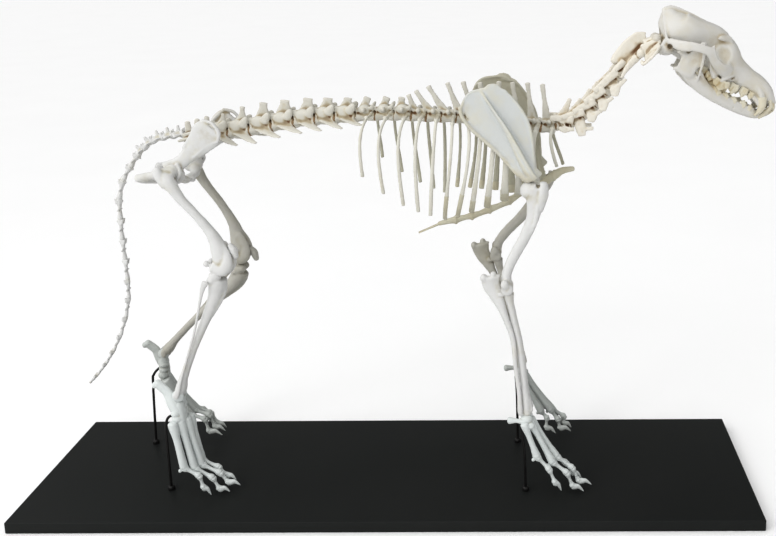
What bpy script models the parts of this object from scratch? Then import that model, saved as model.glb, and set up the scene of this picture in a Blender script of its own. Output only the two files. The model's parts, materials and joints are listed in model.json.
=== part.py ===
"""A dog's skeleton, life size, standing in a walking pose on a black board with four thin rods.

Bones are worked out in millimetres: X runs to the nose, Y to the dog's left side and Z up, from the
middle of the board's underside. Each bone is a few closed pieces, lofted strokes and balls, that one
union makes a single body. Where two bones meet, the later one is cut back by the earlier one.
"""

import math

import bmesh
import bpy
from mathutils import Matrix, Vector
from mathutils.bvhtree import BVHTree

METRES = 0.001
GAP = 0.3
# Distances within which points of a united body are merged, from the widest tried.
SLIVERS = (0.1, 0.03, 0.003)
RIGHT, LEFT = -1, 1
Y_AXIS = Vector((0, 1, 0))

# The board and the rods that carry the skeleton.
BOARD_LENGTH, BOARD_WIDTH, BOARD_HEIGHT = 900, 250, 14
BOARD_BEVEL = 1.5
ROD_RADIUS = 1.6
COLLAR_RADIUS, COLLAR_HEIGHT = 4.2, 5

# Joint centres of the limbs, as (x, distance from the middle plane, z).
FORE = {
    RIGHT: {"scapula": (117, 44, 514), "glenoid": (172, 56, 411), "shoulder": (178, 57, 403),
            "elbow": (147, 60, 280), "carpus": (167, 65, 119), "paw": (204, 66, 60)},
    LEFT: {"scapula": (127, 44, 518), "glenoid": (181, 56, 401), "shoulder": (191, 57, 392),
           "elbow": (131, 60, 284), "carpus": (161, 65, 122), "paw": (196, 71, 58)},
}
HIND = {
    RIGHT: {"hip": (-246, 41, 420), "knee": (-190, 57, 309), "shin": (-192, 57, 309),
            "ankle": (-254, 58, 145), "heel": (-280, 59, 160), "tarsus": (-253, 58, 111)},
    LEFT: {"hip": (-253, 41, 415), "knee": (-203, 57, 288), "shin": (-193, 57, 277),
           "ankle": (-315, 60, 148), "heel": (-338, 61, 161), "tarsus": (-317, 61, 110)},
}

# Middle of the column at each joint between vertebrae, as (x, z), from the atlas to the sacrum.
NECK_JOINTS = ((311, 555), (281, 524), (266, 503), (254, 489), (240, 476), (225, 467), (208, 464))
CHEST_JOINTS = ((208, 464), (190, 466), (172, 468), (155, 471), (138, 472), (121, 474), (105, 476),
                (88, 478), (70, 479), (52, 480), (34, 481), (13, 482), (-10, 482), (-34, 481))
LOIN_JOINTS = ((-34, 481), (-59, 480), (-83, 478), (-109, 475), (-136, 471), (-163, 466),
               (-189, 462), (-212, 459))
TAIL_JOINTS = ((-243, 457), (-256, 456), (-268, 454), (-281, 450), (-292, 442), (-302, 432),
               (-312, 418), (-323, 401), (-330, 377), (-331, 351), (-331, 325), (-330, 299),
               (-329, 272), (-330, 248), (-336, 222), (-345, 198), (-356, 177), (-367, 160),
               (-380, 144), (-391, 133))
COLUMN_SIDES = 6
TAIL_PARTS = {"tail_base": (0, 7), "tail_middle": (7, 13), "tail_tip": (13, 19)}

# Tips of the spinous processes, as (x, z).
CHEST_SPINES = ((192, 514), (174, 516), (156, 517), (140, 518), (117, 517), (97, 518), (78, 517),
                (55, 513), (40, 508), (31, 503), (23, 500), (5, 500), (-18, 500))
NECK_SPINES = ((272, 523), (258, 517), (249, 508), (238, 496), (225, 496))
LOIN_SPINES = ((-42, 500), (-66, 500), (-90, 500), (-118, 498), (-144, 495), (-170, 490), (-194, 482))
LOIN_SPINE_HALVES = (5.2, 5.8, 5.8, 5.8, 4.8, 3, 2.6)
# Tips of the loins' side processes, as (x, distance from the middle, z).
LOIN_WINGS = ((-24, 17, 469), (-47, 21, 466), (-71, 25, 464), (-94, 27, 462), (-120, 27, 457),
              (-149, 26, 450), (-173, 22, 447))

# Each rib, as (backward sweep, distance of its widest point from the middle, x and z of its lower end).
RIBS = ((5, 24, 209, 415), (7, 32, 186, 391), (3, 38, 162, 381), (1, 43, 145, 374), (-1, 47, 124, 366),
        (-3, 51, 105, 360), (-7, 55, 88, 355), (-3, 58, 73, 352), (0, 60, 59, 368), (4, 61, 45, 373),
        (6, 62, 28, 381), (7, 61, 5, 395), (5, 58, -19, 415))
TRUE_RIBS = 8
TRUE_RIB_END, FREE_RIB_END = math.radians(171), math.radians(120)
RIB_STATIONS = 6
# Half a rib's breadth above its cartilage, from the first, and how far forward the left ones end
RIB_HALVES = (2.6, 3.9, 4.2, 4.6, 3.6, 3, 2.5, 2.3, 2.2, 2.2, 2.2, 2.2, 2.2)
CARTILAGE_SPREAD = 1.0
LEFT_RIB_SHIFT = 8
CARTILAGE_TOP = 377


def surface(name, colour, roughness, metallic=0.0):
    material = bpy.data.materials.new(name)
    material.use_nodes = True
    shader = material.node_tree.nodes["Principled BSDF"]
    shader.inputs["Base Color"].default_value = (*colour, 1)
    shader.inputs["Roughness"].default_value = roughness
    shader.inputs["Metallic"].default_value = metallic
    return material


def middle_of(points):
    return sum(points, Vector()) / len(points)


class Frame:
    """Directions along a limb bone: along it, to its front and to its outer side."""

    def __init__(self, start, end, side):
        self.start = Vector(start)
        self.span = Vector(end) - self.start
        along = self.span.normalized()
        self.front = Vector((0, -1, 0)).cross(along).normalized()
        out = self.front.cross(along)
        self.out = out if out.y * side > 0 else -out

    def at(self, along, front=0.0, out=0.0):
        return self.start + self.span * along + self.front * front + self.out * out


class Shapes:
    """Closed pieces of one bone, each made larger by `grow` when the bone serves as a cutter."""

    def __init__(self, grow=0.0):
        self.grow = grow
        self.meshes = []

    def keep(self, shape):
        bmesh.ops.recalc_face_normals(shape, faces=shape.faces)
        mesh = bpy.data.meshes.new("piece")
        shape.to_mesh(mesh)
        shape.free()
        self.meshes.append(mesh)

    def stroke(self, points, sizes, across=Y_AXIS, sides=8, tips=(0.5, 0.5)):
        """A loft along points. A size is half the width along `across`, then half the depth."""
        points = [Vector(point) for point in points]
        pairs = [size if isinstance(size, tuple) else (size, size) for size in sizes]
        shape = bmesh.new()
        rings = []
        spread = math.sqrt(2) if sides == 4 else 1 / math.sqrt(math.cos(math.pi / sides))
        last = len(points) - 1
        for index, point in enumerate(points):
            tangent = (points[min(index + 1, last)] - points[max(index - 1, 0)]).normalized()
            wide = (across - tangent * across.dot(tangent)).normalized()
            deep = tangent.cross(wide)
            width, depth = (value * spread + self.grow for value in pairs[index])
            if index in (0, last):
                point = point + tangent * (self.grow if index else -self.grow)
            turns = (math.tau * (step + 0.5) / sides for step in range(sides))
            rings.append([shape.verts.new(point + wide * width * math.cos(turn)
                                          + deep * depth * math.sin(turn)) for turn in turns])
        for ring, following in zip(rings, rings[1:]):
            for step in range(sides):
                after = (step + 1) % sides
                shape.faces.new((ring[step], ring[after], following[after], following[step]))
        for ring, size, outward, tip in ((rings[0], pairs[0], points[0] - points[1], tips[0]),
                                         (rings[-1], pairs[-1], points[-1] - points[-2], tips[1])):
            if not tip:
                shape.faces.new(ring)
                continue
            middle = middle_of([vertex.co for vertex in ring])
            apex = shape.verts.new(middle + outward.normalized() * min(size) * tip)
            for step in range(sides):
                shape.faces.new((ring[step], ring[(step + 1) % sides], apex))
        self.keep(shape)

    def ball(self, centre, radii, fineness=2):
        """An ellipsoid with its radii along X, Y and Z."""
        radii = radii if isinstance(radii, tuple) else (radii,) * 3
        grown = [radius + self.grow for radius in radii]
        shape = bmesh.new()
        place = Matrix.Translation(Vector(centre)) @ Matrix.Diagonal((*grown, 1))
        bmesh.ops.create_icosphere(shape, subdivisions=fineness, radius=1, matrix=place)
        self.keep(shape)


def two_sides():
    return (RIGHT, LEFT)


def middle_plane(point, height=0.0, side=0.0):
    """A point (x, z) of the column, raised by height and moved sideways."""
    return Vector((point[0], side, point[1] + height))


# The board and the rods

def board(shapes):
    shape = bmesh.new()
    place = Matrix.Translation((0, 0, BOARD_HEIGHT / 2))
    grown = (BOARD_LENGTH + 2 * shapes.grow, BOARD_WIDTH + 2 * shapes.grow, BOARD_HEIGHT + 2 * shapes.grow)
    bmesh.ops.create_cube(shape, size=1, matrix=place @ Matrix.Diagonal((*grown, 1)))
    upper = [edge for edge in shape.edges if min(vertex.co.z for vertex in edge.verts) > BOARD_HEIGHT / 2]
    bmesh.ops.bevel(shape, geom=upper, offset=BOARD_BEVEL, segments=2, profile=0.5, affect="EDGES")
    shapes.keep(shape)


def rod(points):
    def shape(shapes):
        foot = Vector(points[0])
        shapes.stroke(points, [ROD_RADIUS] * len(points), across=Vector((1, 0, 0)), sides=6, tips=(0, 0))
        shapes.stroke((foot, foot + Vector((0, 0, COLLAR_HEIGHT))), [COLLAR_RADIUS] * 2,
                      across=Vector((1, 0, 0)), sides=8, tips=(0, 0))
    return shape


# The skull: lengths along it, height above its axis, and distance to the side

SKULL_ORIGIN = Vector((333, 0, 561))
SKULL_FORWARD = Vector((0.8988, 0, -0.4384))
SKULL_UP = Vector((0.4384, 0, 0.8988))


def head(forward, up, side=0.0):
    return SKULL_ORIGIN + SKULL_FORWARD * forward + SKULL_UP * up + Y_AXIS * side


# Each tooth, as (forward, out, gum, half the length, tip), then (forward, out, half the length, tip).
UPPER_TEETH = ((63, 21, -8, 5, -15), (79, 24, -11, 9, -20), (96, 18, -11, 5.5, -19),
               (108, 15.5, -11, 4, -18), (118, 14, -12, 3, -17))
LOWER_TEETH = ((60, 24, 5, -14), (77, 21, 8.5, -14), (92, 18, 5, -16), (104, 15.5, 4.5, -16),
               (115, 13, 3.6, -17), (125, 11, 2.4, -19))


def skull(shapes):
    # Each station is (forward, bottom, top, half the width).
    case = ((-9, 19, 36, 8), (-3, 8, 43, 19), (8, 3, 45, 25), (24, 6, 46, 26), (38, 10, 47, 21),
            (50, 12, 47, 18), (60, 14, 46, 22), (70, 6, 41, 21), (80, -8, 33, 22), (92, -11, 25, 19),
            (106, -11, 19, 16), (124, -12, 16, 14.5), (138, -12, 11, 13), (148, -10, 1, 9))
    shapes.stroke([head(f, (low + high) / 2) for f, low, high, _ in case],
                  [(wide, (high - low) / 2) for _, low, high, wide in case], sides=10)
    shapes.stroke([head(-16, 36), head(-6, 42), head(12, 43), head(36, 44)],
                  [(1.5, 4), (1.5, 4), (1.5, 3.5), (1.5, 2.5)], sides=4)
    shapes.stroke([head(-10, 5), head(14, 1), head(40, -2), head(58, -6), head(84, -8)],
                  [(7, 5), (12, 6), (9, 7), (13, 7), (18, 6)], sides=6)
    for side in two_sides():
        shapes.stroke([head(-12, 34, 5 * side), head(-6, 22, 17 * side), head(2, 9, 24 * side)],
                      [(2, 3.5), (2, 3), (3, 4)], sides=4)
        shapes.ball(head(-9, 3, 7 * side), (6.5, 6, 6.5), 1)
        shapes.ball(head(5, -2, 16 * side), (9, 8, 8), 1)
        shapes.stroke([head(4, 8, 23 * side), head(14, 9, 37 * side), head(27, 13.5, 44 * side),
                       head(41, 15.5, 45 * side), head(53, 20, 42 * side), head(64, 20, 36 * side),
                       head(76, 14, 24 * side)],
                      [(3, 4), (2.5, 4.5), (2, 5), (2, 6), (2, 7.5), (2.5, 6), (4, 5)], sides=6)
        shapes.stroke([head(60, 37, 15 * side), head(57, 32, 27 * side)], [(5, 6), (2, 3)],
                      across=SKULL_FORWARD, sides=5)
        shapes.stroke([head(62, 18, 33 * side), head(70, 4, 26 * side), head(76, -8, 22 * side)],
                      [(3, 5), (4, 10), (5, 12)], sides=6)
        shapes.stroke([head(58, -6, 20 * side), head(78, -7, 23 * side), head(96, -9, 18 * side),
                       head(118, -10, 14 * side), head(134, -8, 12 * side)],
                      [(4, 5), (5, 8), (4, 5), (3.5, 4), (4, 5)], sides=6)
        for forward, out, up, half, point in UPPER_TEETH:
            shapes.stroke([head(forward, up, out * side), head(forward, point, out * side)],
                          [(2.4, half), (1, half * 0.35)], sides=4, tips=(0, 0.6))
        shapes.stroke([head(134, -6, 12 * side), head(140, -15, 14.5 * side), head(138, -27, 14.5 * side)],
                      [4.4, 3.6, 1], sides=5)
        for out, forward in ((2.4, 151), (7, 149)):
            shapes.stroke([head(forward - 3, -4, out * side), head(forward + 1, -13, out * side)],
                          [(2.1, 2.6), (1.7, 0.9)], sides=4)


def mandible(shapes):
    for side in two_sides():
        shapes.stroke([head(34, -14, 30 * side), head(50, -21, 27 * side), head(68, -28, 23 * side),
                       head(88, -30, 19 * side), head(110, -29.5, 14 * side),
                       head(130, -28.5, 9 * side), head(146, -24, 5 * side), head(152, -19, 3 * side)],
                      [(2.5, 5), (3.5, 8.5), (4, 8), (4, 7), (4, 6.5), (4.5, 7), (5, 5), (4, 3.2)],
                      sides=5)
        shapes.stroke([head(33, -20, 31 * side), head(35, -4, 33 * side), head(41, 12, 34 * side),
                       head(37, 22, 33 * side)], [(2.2, 14), (1.8, 13), (1.6, 9), (1.2, 4)], sides=4)
        shapes.stroke([head(34, 0, 32 * side), head(24, 3, 32 * side), head(19, 4, 32 * side)],
                      [(2.5, 6), (4, 3), (8, 3)], sides=4)
        shapes.stroke([head(32, -14, 31 * side), head(21, -17, 31 * side), head(15, -18, 31 * side)],
                      [(2.2, 6), (2, 3), (1.5, 1.8)], sides=4)
        for forward, out, half, point in LOWER_TEETH:
            shapes.stroke([head(forward, -25, out * side), head(forward, point, out * side)],
                          [(2.2, half), (0.9, half * 0.35)], sides=4, tips=(0, 0.6))
        shapes.stroke([head(144, -26, 8 * side), head(148, -16, 10.5 * side), head(147, -7, 11.5 * side)],
                      [3.2, 2.7, 0.9], sides=5)
        shapes.stroke([head(151, -20, 2.6 * side), head(157, -12.5, 3.2 * side)],
                      [(2.4, 2.2), (2, 0.8)], sides=4)


# The column

def along_column(joints, index):
    """Middle, direction and upward direction of the vertebra between two joints."""
    front = middle_plane(joints[index])
    back = middle_plane(joints[index + 1])
    tangent = (back - front).normalized()
    upward = Vector((0, 1, 0)).cross(tangent)
    if upward.z < 0:
        upward.negate()
    return front, back, (front + back) / 2, tangent, upward


def column(shapes, joints, ends, waists, drop):
    """One tube for a run of vertebrae: wide at each joint and narrow between."""
    points = []
    sizes = []
    for index in range(len(joints) - 1):
        front, back, middle, _, upward = along_column(joints, index)
        points += [front - upward * drop, middle - upward * drop]
        sizes += [ends, waists]
    points.append(back - upward * drop)
    sizes.append(ends)
    shapes.stroke(points, sizes, sides=COLUMN_SIDES, tips=(0, 0))


def atlas(shapes):
    shapes.stroke([(331, 0, 562), (321, 0, 559), (311, 0, 554)], [(13, 9), (11, 8.5), (12, 9)],
                  tips=(0, 0))
    for side in two_sides():
        shapes.stroke([(321, 8 * side, 558), (318, 24 * side, 552), (314, 34 * side, 546)],
                      [(10, 2.2), (12, 1.5), (7, 1.2)], across=Vector((0.72, 0, 0.69)), sides=4)


def axis(shapes):
    shapes.stroke([(313, 0, 555), (303, 0, 546), (290, 0, 533), (281, 0, 525)],
                  [(9, 7), (7, 6.5), (7, 6), (8, 7)], tips=(0.9, 0))
    shapes.stroke([(313, 0, 571), (304, 0, 565), (290, 0, 551), (277, 0, 540)],
                  [(1.5, 2.5), (2, 8.5), (3, 9), (4, 5)], sides=6)
    for side in two_sides():
        shapes.stroke([(302, 6 * side, 543), (292, 13 * side, 535), (286, 15 * side, 524)],
                      [(3, 5), (2, 3.5), (1.5, 2)], sides=4)
        shapes.ball((281, 9 * side, 534), (5, 4, 4.5), 1)


def neck(shapes):
    joints = NECK_JOINTS[1:]
    column(shapes, joints, (9.5, 10.5), (7.5, 8.5), -2.5)
    # The wings at the sides of each vertebra, as (height of the tip, distance out, backward reach).
    wings = ((-10, 13, 14), (-10, 13, 13), (-10, 13, 11), (-19, 12, 6), (-6, 16, 4))
    for index, (tip, (low, out, reach)) in enumerate(zip(NECK_SPINES, wings)):
        front, _, middle, tangent, upward = along_column(joints, index)
        shapes.stroke([middle + upward * 7, middle_plane(tip)], [(1.8, 5.5), (1.2, 2.2)], sides=4,
                      tips=(0, 0.3))
        for side in two_sides():
            sideways = Y_AXIS * side
            shapes.stroke([front + sideways * 6 - upward * 1, middle + sideways * out + upward * low * 0.5,
                           middle + sideways * (out + 1) + upward * low + tangent * reach * 0.55],
                          [(3, 5), (2, 5), (1.4, 4)], sides=4, tips=(0, 0.3))


def rib(shapes, index, side):
    sweep, widest, end_x, end_z = RIBS[index]
    true_rib = index < TRUE_RIBS
    last_turn = TRUE_RIB_END if true_rib else FREE_RIB_END
    head_x, head_z = CHEST_JOINTS[index]
    start = Vector((head_x - 3, 0, head_z - 1))
    half_height = (start.z - end_z) / (1 - math.cos(last_turn))
    if true_rib and side == LEFT and end_z < CARTILAGE_TOP:
        last_turn = math.acos(1 - (start.z - CARTILAGE_TOP) / half_height)
    points = []
    sizes = []
    for station in range(RIB_STATIONS):
        turn = last_turn * (0.05 + 0.95 * station / (RIB_STATIONS - 1))
        z = start.z - half_height * (1 - math.cos(turn))
        share = (start.z - z) / (start.z - end_z)
        x = start.x + (end_x - start.x) * share - sweep * math.sin(math.pi * share)
        if side == LEFT:
            x += LEFT_RIB_SHIFT * share ** 0.5
        power = 0.4 if turn < math.pi / 2 else 0.8 if true_rib else 0.5
        points.append((x, widest * math.sin(turn) ** power * side if station else 4 * side, z))
        cartilage = true_rib and z < CARTILAGE_TOP + 12
        sizes.append((1.7, RIB_HALVES[index] + (CARTILAGE_SPREAD if cartilage else 0)))
    shapes.stroke(points, sizes, sides=4, tips=(0, 0))


def chest_side(side):
    def shape(shapes):
        column(shapes, CHEST_JOINTS, (7.5, 9), (5.5, 7.2), 3)
        for index, tip in enumerate(CHEST_SPINES):
            _, back, middle, _, upward = along_column(CHEST_JOINTS, index)
            leaning = 3 <= index < 10
            root = middle.lerp(back, 0.6 if leaning else 0.2) + upward * 3
            thick = 3.1 if index < 10 else 4.6
            shapes.stroke([root, root.lerp(middle_plane(tip), 0.55), middle_plane(tip)],
                          [(2, 6.2), (1.4, thick + 0.6), (1.8, thick)], sides=4, tips=(0, 0))
            rib(shapes, index, side)
    return shape


def loins(shapes):
    column(shapes, LOIN_JOINTS, (9.5, 11), (6.5, 8.5), 2.5)
    for index, (spine, half, (x, out, z)) in enumerate(zip(LOIN_SPINES, LOIN_SPINE_HALVES, LOIN_WINGS)):
        front, back, middle, tangent, upward = along_column(LOIN_JOINTS, index)
        shapes.stroke([middle + upward * 4, middle + upward * 11, middle_plane(spine)],
                      [(3, 9.5), (2.4, half + 2.5), (1.6, half)], sides=4, tips=(0, 0))
        for side in two_sides():
            sideways = Y_AXIS * side
            shapes.stroke([front + upward * 13 + sideways * 8 - tangent,
                           front + upward * 5 + sideways * 7 + tangent * 5],
                          [(2.8, 3), (3, 4)], sides=4, tips=(0, 0))
            shapes.stroke([middle - upward * 4 + sideways * 3, Vector((x, out * side, z))],
                          [(1.6, 7.5), (1.1, 2.6)], across=upward + sideways * 0.3, sides=4, tips=(0, 0))


def sacrum(shapes):
    shapes.stroke([(-212, 0, 456), (-226, 0, 454), (-242, 0, 452)], [(14, 9), (12, 8), (8, 7)], tips=(0, 0))
    for side in two_sides():
        shapes.stroke([(-219, 5 * side, 457), (-216, 27 * side, 460)], [(8, 7), (7, 9)],
                      across=Vector((1, 0, 0)), sides=6)
    for root, tip in (((-217, 458), (-214, 476)), ((-227, 457), (-226, 473)), ((-237, 455), (-238, 470))):
        shapes.stroke([middle_plane(root), middle_plane(tip)], [(2.2, 5.2), (1.6, 3.6)], sides=4)


def tail_part(first, last):
    def shape(shapes):
        joints = TAIL_JOINTS[first:last + 1]
        points = []
        sizes = []
        for index in range(len(joints) - 1):
            front, _, middle, _, _ = along_column(joints, index)
            thick = 5.4 - 0.19 * (first + index)
            points += [front, middle]
            sizes += [thick, thick * 0.62]
        points.append(middle_plane(joints[-1]))
        sizes.append(thick * 0.8)
        shapes.stroke(points, sizes, sides=6, tips=(0, 0.6))
        for index in range(2 if first == 0 else 0):
            front, back, _, _, _ = along_column(joints, index)
            centre = front.lerp(back, 0.4)
            shapes.stroke([centre, centre + Vector((0, 0, 9 - index))], [(1.8, 3), (1.4, 2)], sides=4)
            for side in two_sides():
                shapes.stroke([centre, centre + Vector((-2, (12 - 2 * index) * side, -2))],
                              [(4, 1.6), (2.5, 1)], across=Vector((1, 0, 0)), sides=4)
    return shape


def sternum(shapes):
    middle = ((229, 410), (216, 408), (206, 403), (190, 391), (177, 383), (164, 379), (152, 371),
              (140, 365), (127, 360), (115, 355), (105, 352), (96, 350), (85, 347), (75, 345), (64, 342))
    sizes = ((3, 3), (3.5, 5), (5, 6.5)) + ((3.5, 4), (5, 5.2)) * 5 + ((3.5, 4), (3.5, 3))
    shapes.stroke([middle_plane(point) for point in middle], sizes, sides=6)
    shapes.stroke([(67, 0, 343), (53, 0, 337), (39, 0, 331)], [(2, 1.6), (3, 1.2), (4, 0.9)], sides=5)


# The forelimb

def place(limb, name, side):
    x, out, z = limb[name]
    return Vector((x, out * side, z))


def scapula(side):
    def shape(shapes):
        limb = FORE[side]
        frame = Frame(place(limb, "glenoid", side), place(limb, "scapula", side), side)
        # The blade, as (share of the length, middle toward the front, half the width, half thickness).
        blade = ((0.01, 6, 11, 8), (0.08, 4.5, 12, 4.5), (0.2, 5.5, 15.5, 2.4), (0.36, 7.5, 21.5, 1.6),
                 (0.52, 6, 28, 1.5), (0.7, 1.5, 31.5, 1.6), (0.84, -3.5, 29.5, 1.8), (0.93, -8, 22, 1.8),
                 (0.99, -10, 11, 1.6))
        shapes.stroke([frame.at(s, -toward) for s, toward, _, _ in blade],
                      [(thick, wide) for _, _, wide, thick in blade], sides=8, tips=(0.3, 0.8))
        # The ridge along it, as (share of the length, toward the front, height above the blade).
        ridge = ((0.04, 9, 8.5), (0.12, 7, 9), (0.3, 4, 7), (0.6, 1, 5.5), (0.85, 0, 4), (0.98, 0, 1.5))
        shapes.stroke([frame.at(s, -toward, out - 3) for s, toward, out in ridge],
                      [(4, 1.5)] * len(ridge), across=frame.out, sides=4)
    return shape


def humerus(side):
    def shape(shapes):
        limb = FORE[side]
        frame = Frame(place(limb, "shoulder", side), place(limb, "elbow", side), side)
        # The shaft, as (share of the length, toward the front, half the width, half the depth).
        line = ((0.03, 2, 9.5, 12), (0.1, 7, 9, 11), (0.28, 10, 6.4, 8.2), (0.49, 6.5, 5.6, 7),
                (0.7, -0.5, 5.8, 6.6), (0.86, -3.5, 8, 6.3), (0.95, -1, 11, 7))
        shapes.stroke([frame.at(s, toward) for s, toward, _, _ in line],
                      [(wide, deep) for _, _, wide, deep in line], sides=8)
        shapes.ball(frame.at(0.04, -4, -2), 11)
        shapes.stroke([frame.at(0.16, 13, 3), frame.at(0.04, 13.5, 3), frame.at(-0.03, 13, 3)],
                      [(6, 6), (7, 7.5), (4.5, 5.5)], sides=6)
        shapes.stroke([frame.at(1, 1, -10), frame.at(1, 1, 10)], [8, 7.5], across=frame.front, sides=8,
                      tips=(0.3, 0.3))
        for out in (-11, 11):
            shapes.ball(frame.at(0.95, -3, out), (5, 3, 6), 1)
    return shape


def radius(side):
    def shape(shapes):
        limb = FORE[side]
        frame = Frame(place(limb, "elbow", side), place(limb, "carpus", side), side)
        line = ((0.04, 2, 8.5, 6.5), (0.09, 1.5, 8, 5.5), (0.22, 3, 6, 4.6), (0.42, 6, 6.4, 4.8),
                (0.6, 6, 6.6, 5), (0.78, 5, 7, 5.2), (0.9, 4.5, 9.5, 6.5), (0.965, 3.5, 10, 6.5))
        shapes.stroke([frame.at(s, toward, -1) for s, toward, _, _ in line],
                      [(wide, deep) for _, _, wide, deep in line], sides=8, tips=(0.2, 0.3))
    return shape


def ulna(side):
    def shape(shapes):
        limb = FORE[side]
        frame = Frame(place(limb, "elbow", side), place(limb, "carpus", side), side)
        # The shaft, as (share, toward the front, outward, half the width, half the depth).
        line = ((-0.09, -17, 1, 4.2, 10.5), (-0.03, -17, 1, 3.2, 9), (0.06, -12.5, 1, 3.6, 7),
                (0.14, -9, 2, 4.5, 5.4), (0.24, -5, 4, 3.6, 4), (0.4, -0.5, 5, 3, 3.2),
                (0.58, -2, 6, 2.6, 2.8), (0.78, -2, 7, 2.4, 2.8), (0.96, -4, 8.5, 3, 3.6))
        shapes.stroke([frame.at(s, toward, out) for s, toward, out, _, _ in line],
                      [(wide, deep) for _, _, _, wide, deep in line], sides=6)
        shapes.stroke([frame.at(-0.05, -12, 1), frame.at(-0.1, -8, 1)], [(3, 4), (3, 3.4)], sides=5)
    return shape


# Each toe from the innermost, as (x, out, z) of its top, knuckle, two joints and claw tip.
FORE_TOES = {
    RIGHT: (
        ((171, 53, 112), (199, 50, 61), (219, 50, 46), (227, 50, 33), (238, 50, 25)),
        ((175, 60, 112), (206, 58, 60), (226, 58, 44), (234, 58, 26), (250, 58, 21)),
        ((174, 68, 112), (201, 66, 57), (219, 66, 42), (226, 66, 24), (240, 66, 16.5)),
        ((167, 75, 112), (182, 73, 68), (197, 73, 51), (204, 73, 33), (212, 73, 22)),
    ),
    LEFT: (
        ((163, 53, 114), (190, 60, 60), (198, 60, 50), (197, 60, 36), (210, 60, 27)),
        ((166, 60, 114), (203, 68, 58), (213, 68, 44), (216, 68, 31), (231, 68, 26)),
        ((166, 68, 114), (205, 76, 56), (222, 76, 44), (222, 76, 34), (232, 76, 27)),
        ((162, 75, 114), (196, 83, 57), (211, 83, 46), (214, 83, 35), (223, 83, 28)),
    ),
}
HIND_TOES = {
    RIGHT: (
        ((-247, 48, 112), (-236, 49, 52), (-216, 49, 42), (-207, 49, 31), (-195, 49, 24)),
        ((-249, 55, 112), (-235, 56, 50), (-212, 56, 38), (-203, 56, 25), (-188, 56, 21)),
        ((-254, 62, 112), (-241, 64, 50), (-219, 64, 36), (-212, 64, 21), (-199, 64, 17)),
        ((-261, 69, 112), (-251, 71, 54), (-233, 71, 43), (-229, 71, 27), (-220, 71, 17)),
    ),
    LEFT: (
        ((-313, 51, 112), (-287, 60, 58), (-268, 60, 51), (-264, 60, 33), (-246, 60, 27)),
        ((-315, 58, 112), (-285, 68, 61), (-264, 68, 53), (-258, 68, 35), (-244, 68, 29)),
        ((-318, 65, 112), (-286, 76, 61), (-265, 76, 52), (-256, 76, 36), (-245, 76, 30)),
        ((-321, 72, 112), (-292, 82, 62), (-276, 82, 54), (-269, 82, 40), (-259, 82, 33)),
    ),
}
# Stations along a toe, as (bone, share along it, half the thickness).
TOE_STATIONS = ((0, 0, 4.4), (0, 0.3, 3.2), (0, 0.75, 3.3), (1, 0, 4.4), (1, 0.5, 2.7), (2, 0, 3.7),
                (2, 0.5, 2.4), (3, 0, 3.9), (3, 0.55, 2.9), (3, 1, 0.8))


def toes(shapes, rows, side):
    """Each toe is one loft, thick at its joints and thin between, that ends in the claw."""
    for row in rows:
        joints = [Vector((x, out * side, z)) for x, out, z in row]
        points = []
        for bone, share, _ in TOE_STATIONS:
            start = joints[bone]
            points.append(start.lerp(joints[min(bone + 1, 4)], share))
        points[-2].z += 3
        shapes.stroke(points, [thick for _, _, thick in TOE_STATIONS], sides=5)


def forefoot(side):
    def shape(shapes):
        centre = place(FORE[side], "carpus", side)
        down = (place(FORE[side], "paw", side) - centre).normalized()
        shapes.stroke([centre + down * 1.5, centre + down * 8, centre + down * 16],
                      [(11, 7), (13, 7.5), (12.5, 6)], sides=8)
        wrist = centre + down * 6 + Vector((-4, 8 * side, 0))
        shapes.stroke([wrist, wrist + Vector((-10, -1 * side, 1)), wrist + Vector((-18, -2 * side, 1))],
                      [(3, 3.4), (3, 3.2), (3.6, 4.4)], sides=6)
        toes(shapes, FORE_TOES[side], side)
        inner = centre + down * 13 + Vector((-6, -12 * side, 0))
        shapes.stroke([inner, inner + down * 12, inner + down * 22 + Vector((3, 0, 0))], [2.6, 2.4, 0.8],
                      sides=4)
    return shape


# The hindlimb

def pelvis(shapes):
    for side in two_sides():
        # The wing and its neck, as (x, out, z, half the thickness, half the width).
        line = ((-252, 36, 420, 8, 12), (-237, 34, 430, 4.5, 8), (-226, 32, 440, 2.4, 9),
                (-214, 34, 452, 1.8, 14), (-205, 39, 462, 1.8, 18), (-198, 43, 470, 2, 15))
        shapes.stroke([(x, out * side, z) for x, out, z, _, _ in line],
                      [(thick, wide) for _, _, _, thick, wide in line], sides=6, tips=(0.3, 1.2))
        shapes.stroke([(-250, 37 * side, 419), (-270, 32 * side, 414), (-289, 31 * side, 410)],
                      [(6, 7), (8, 4), (10, 4.5)], sides=6)
        shapes.stroke([(-285, 30 * side, 410), (-281, 14 * side, 404), (-275, -1 * side, 401)],
                      [(8, 2.6), (9, 2.2), (9, 2.8)], across=Vector((1, 0, 0)), sides=5, tips=(0, 0))
        shapes.stroke([(-246, 34 * side, 413), (-240, 16 * side, 404), (-244, -1 * side, 402)],
                      [(6, 4), (5, 3), (7, 3)], across=Vector((1, 0, 0)), sides=5, tips=(0, 0))
    shapes.stroke([(-288, 0, 401), (-262, 0, 402), (-234, 0, 401)], [(4, 3), (4, 3.4), (4, 3.8)], sides=6)


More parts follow.
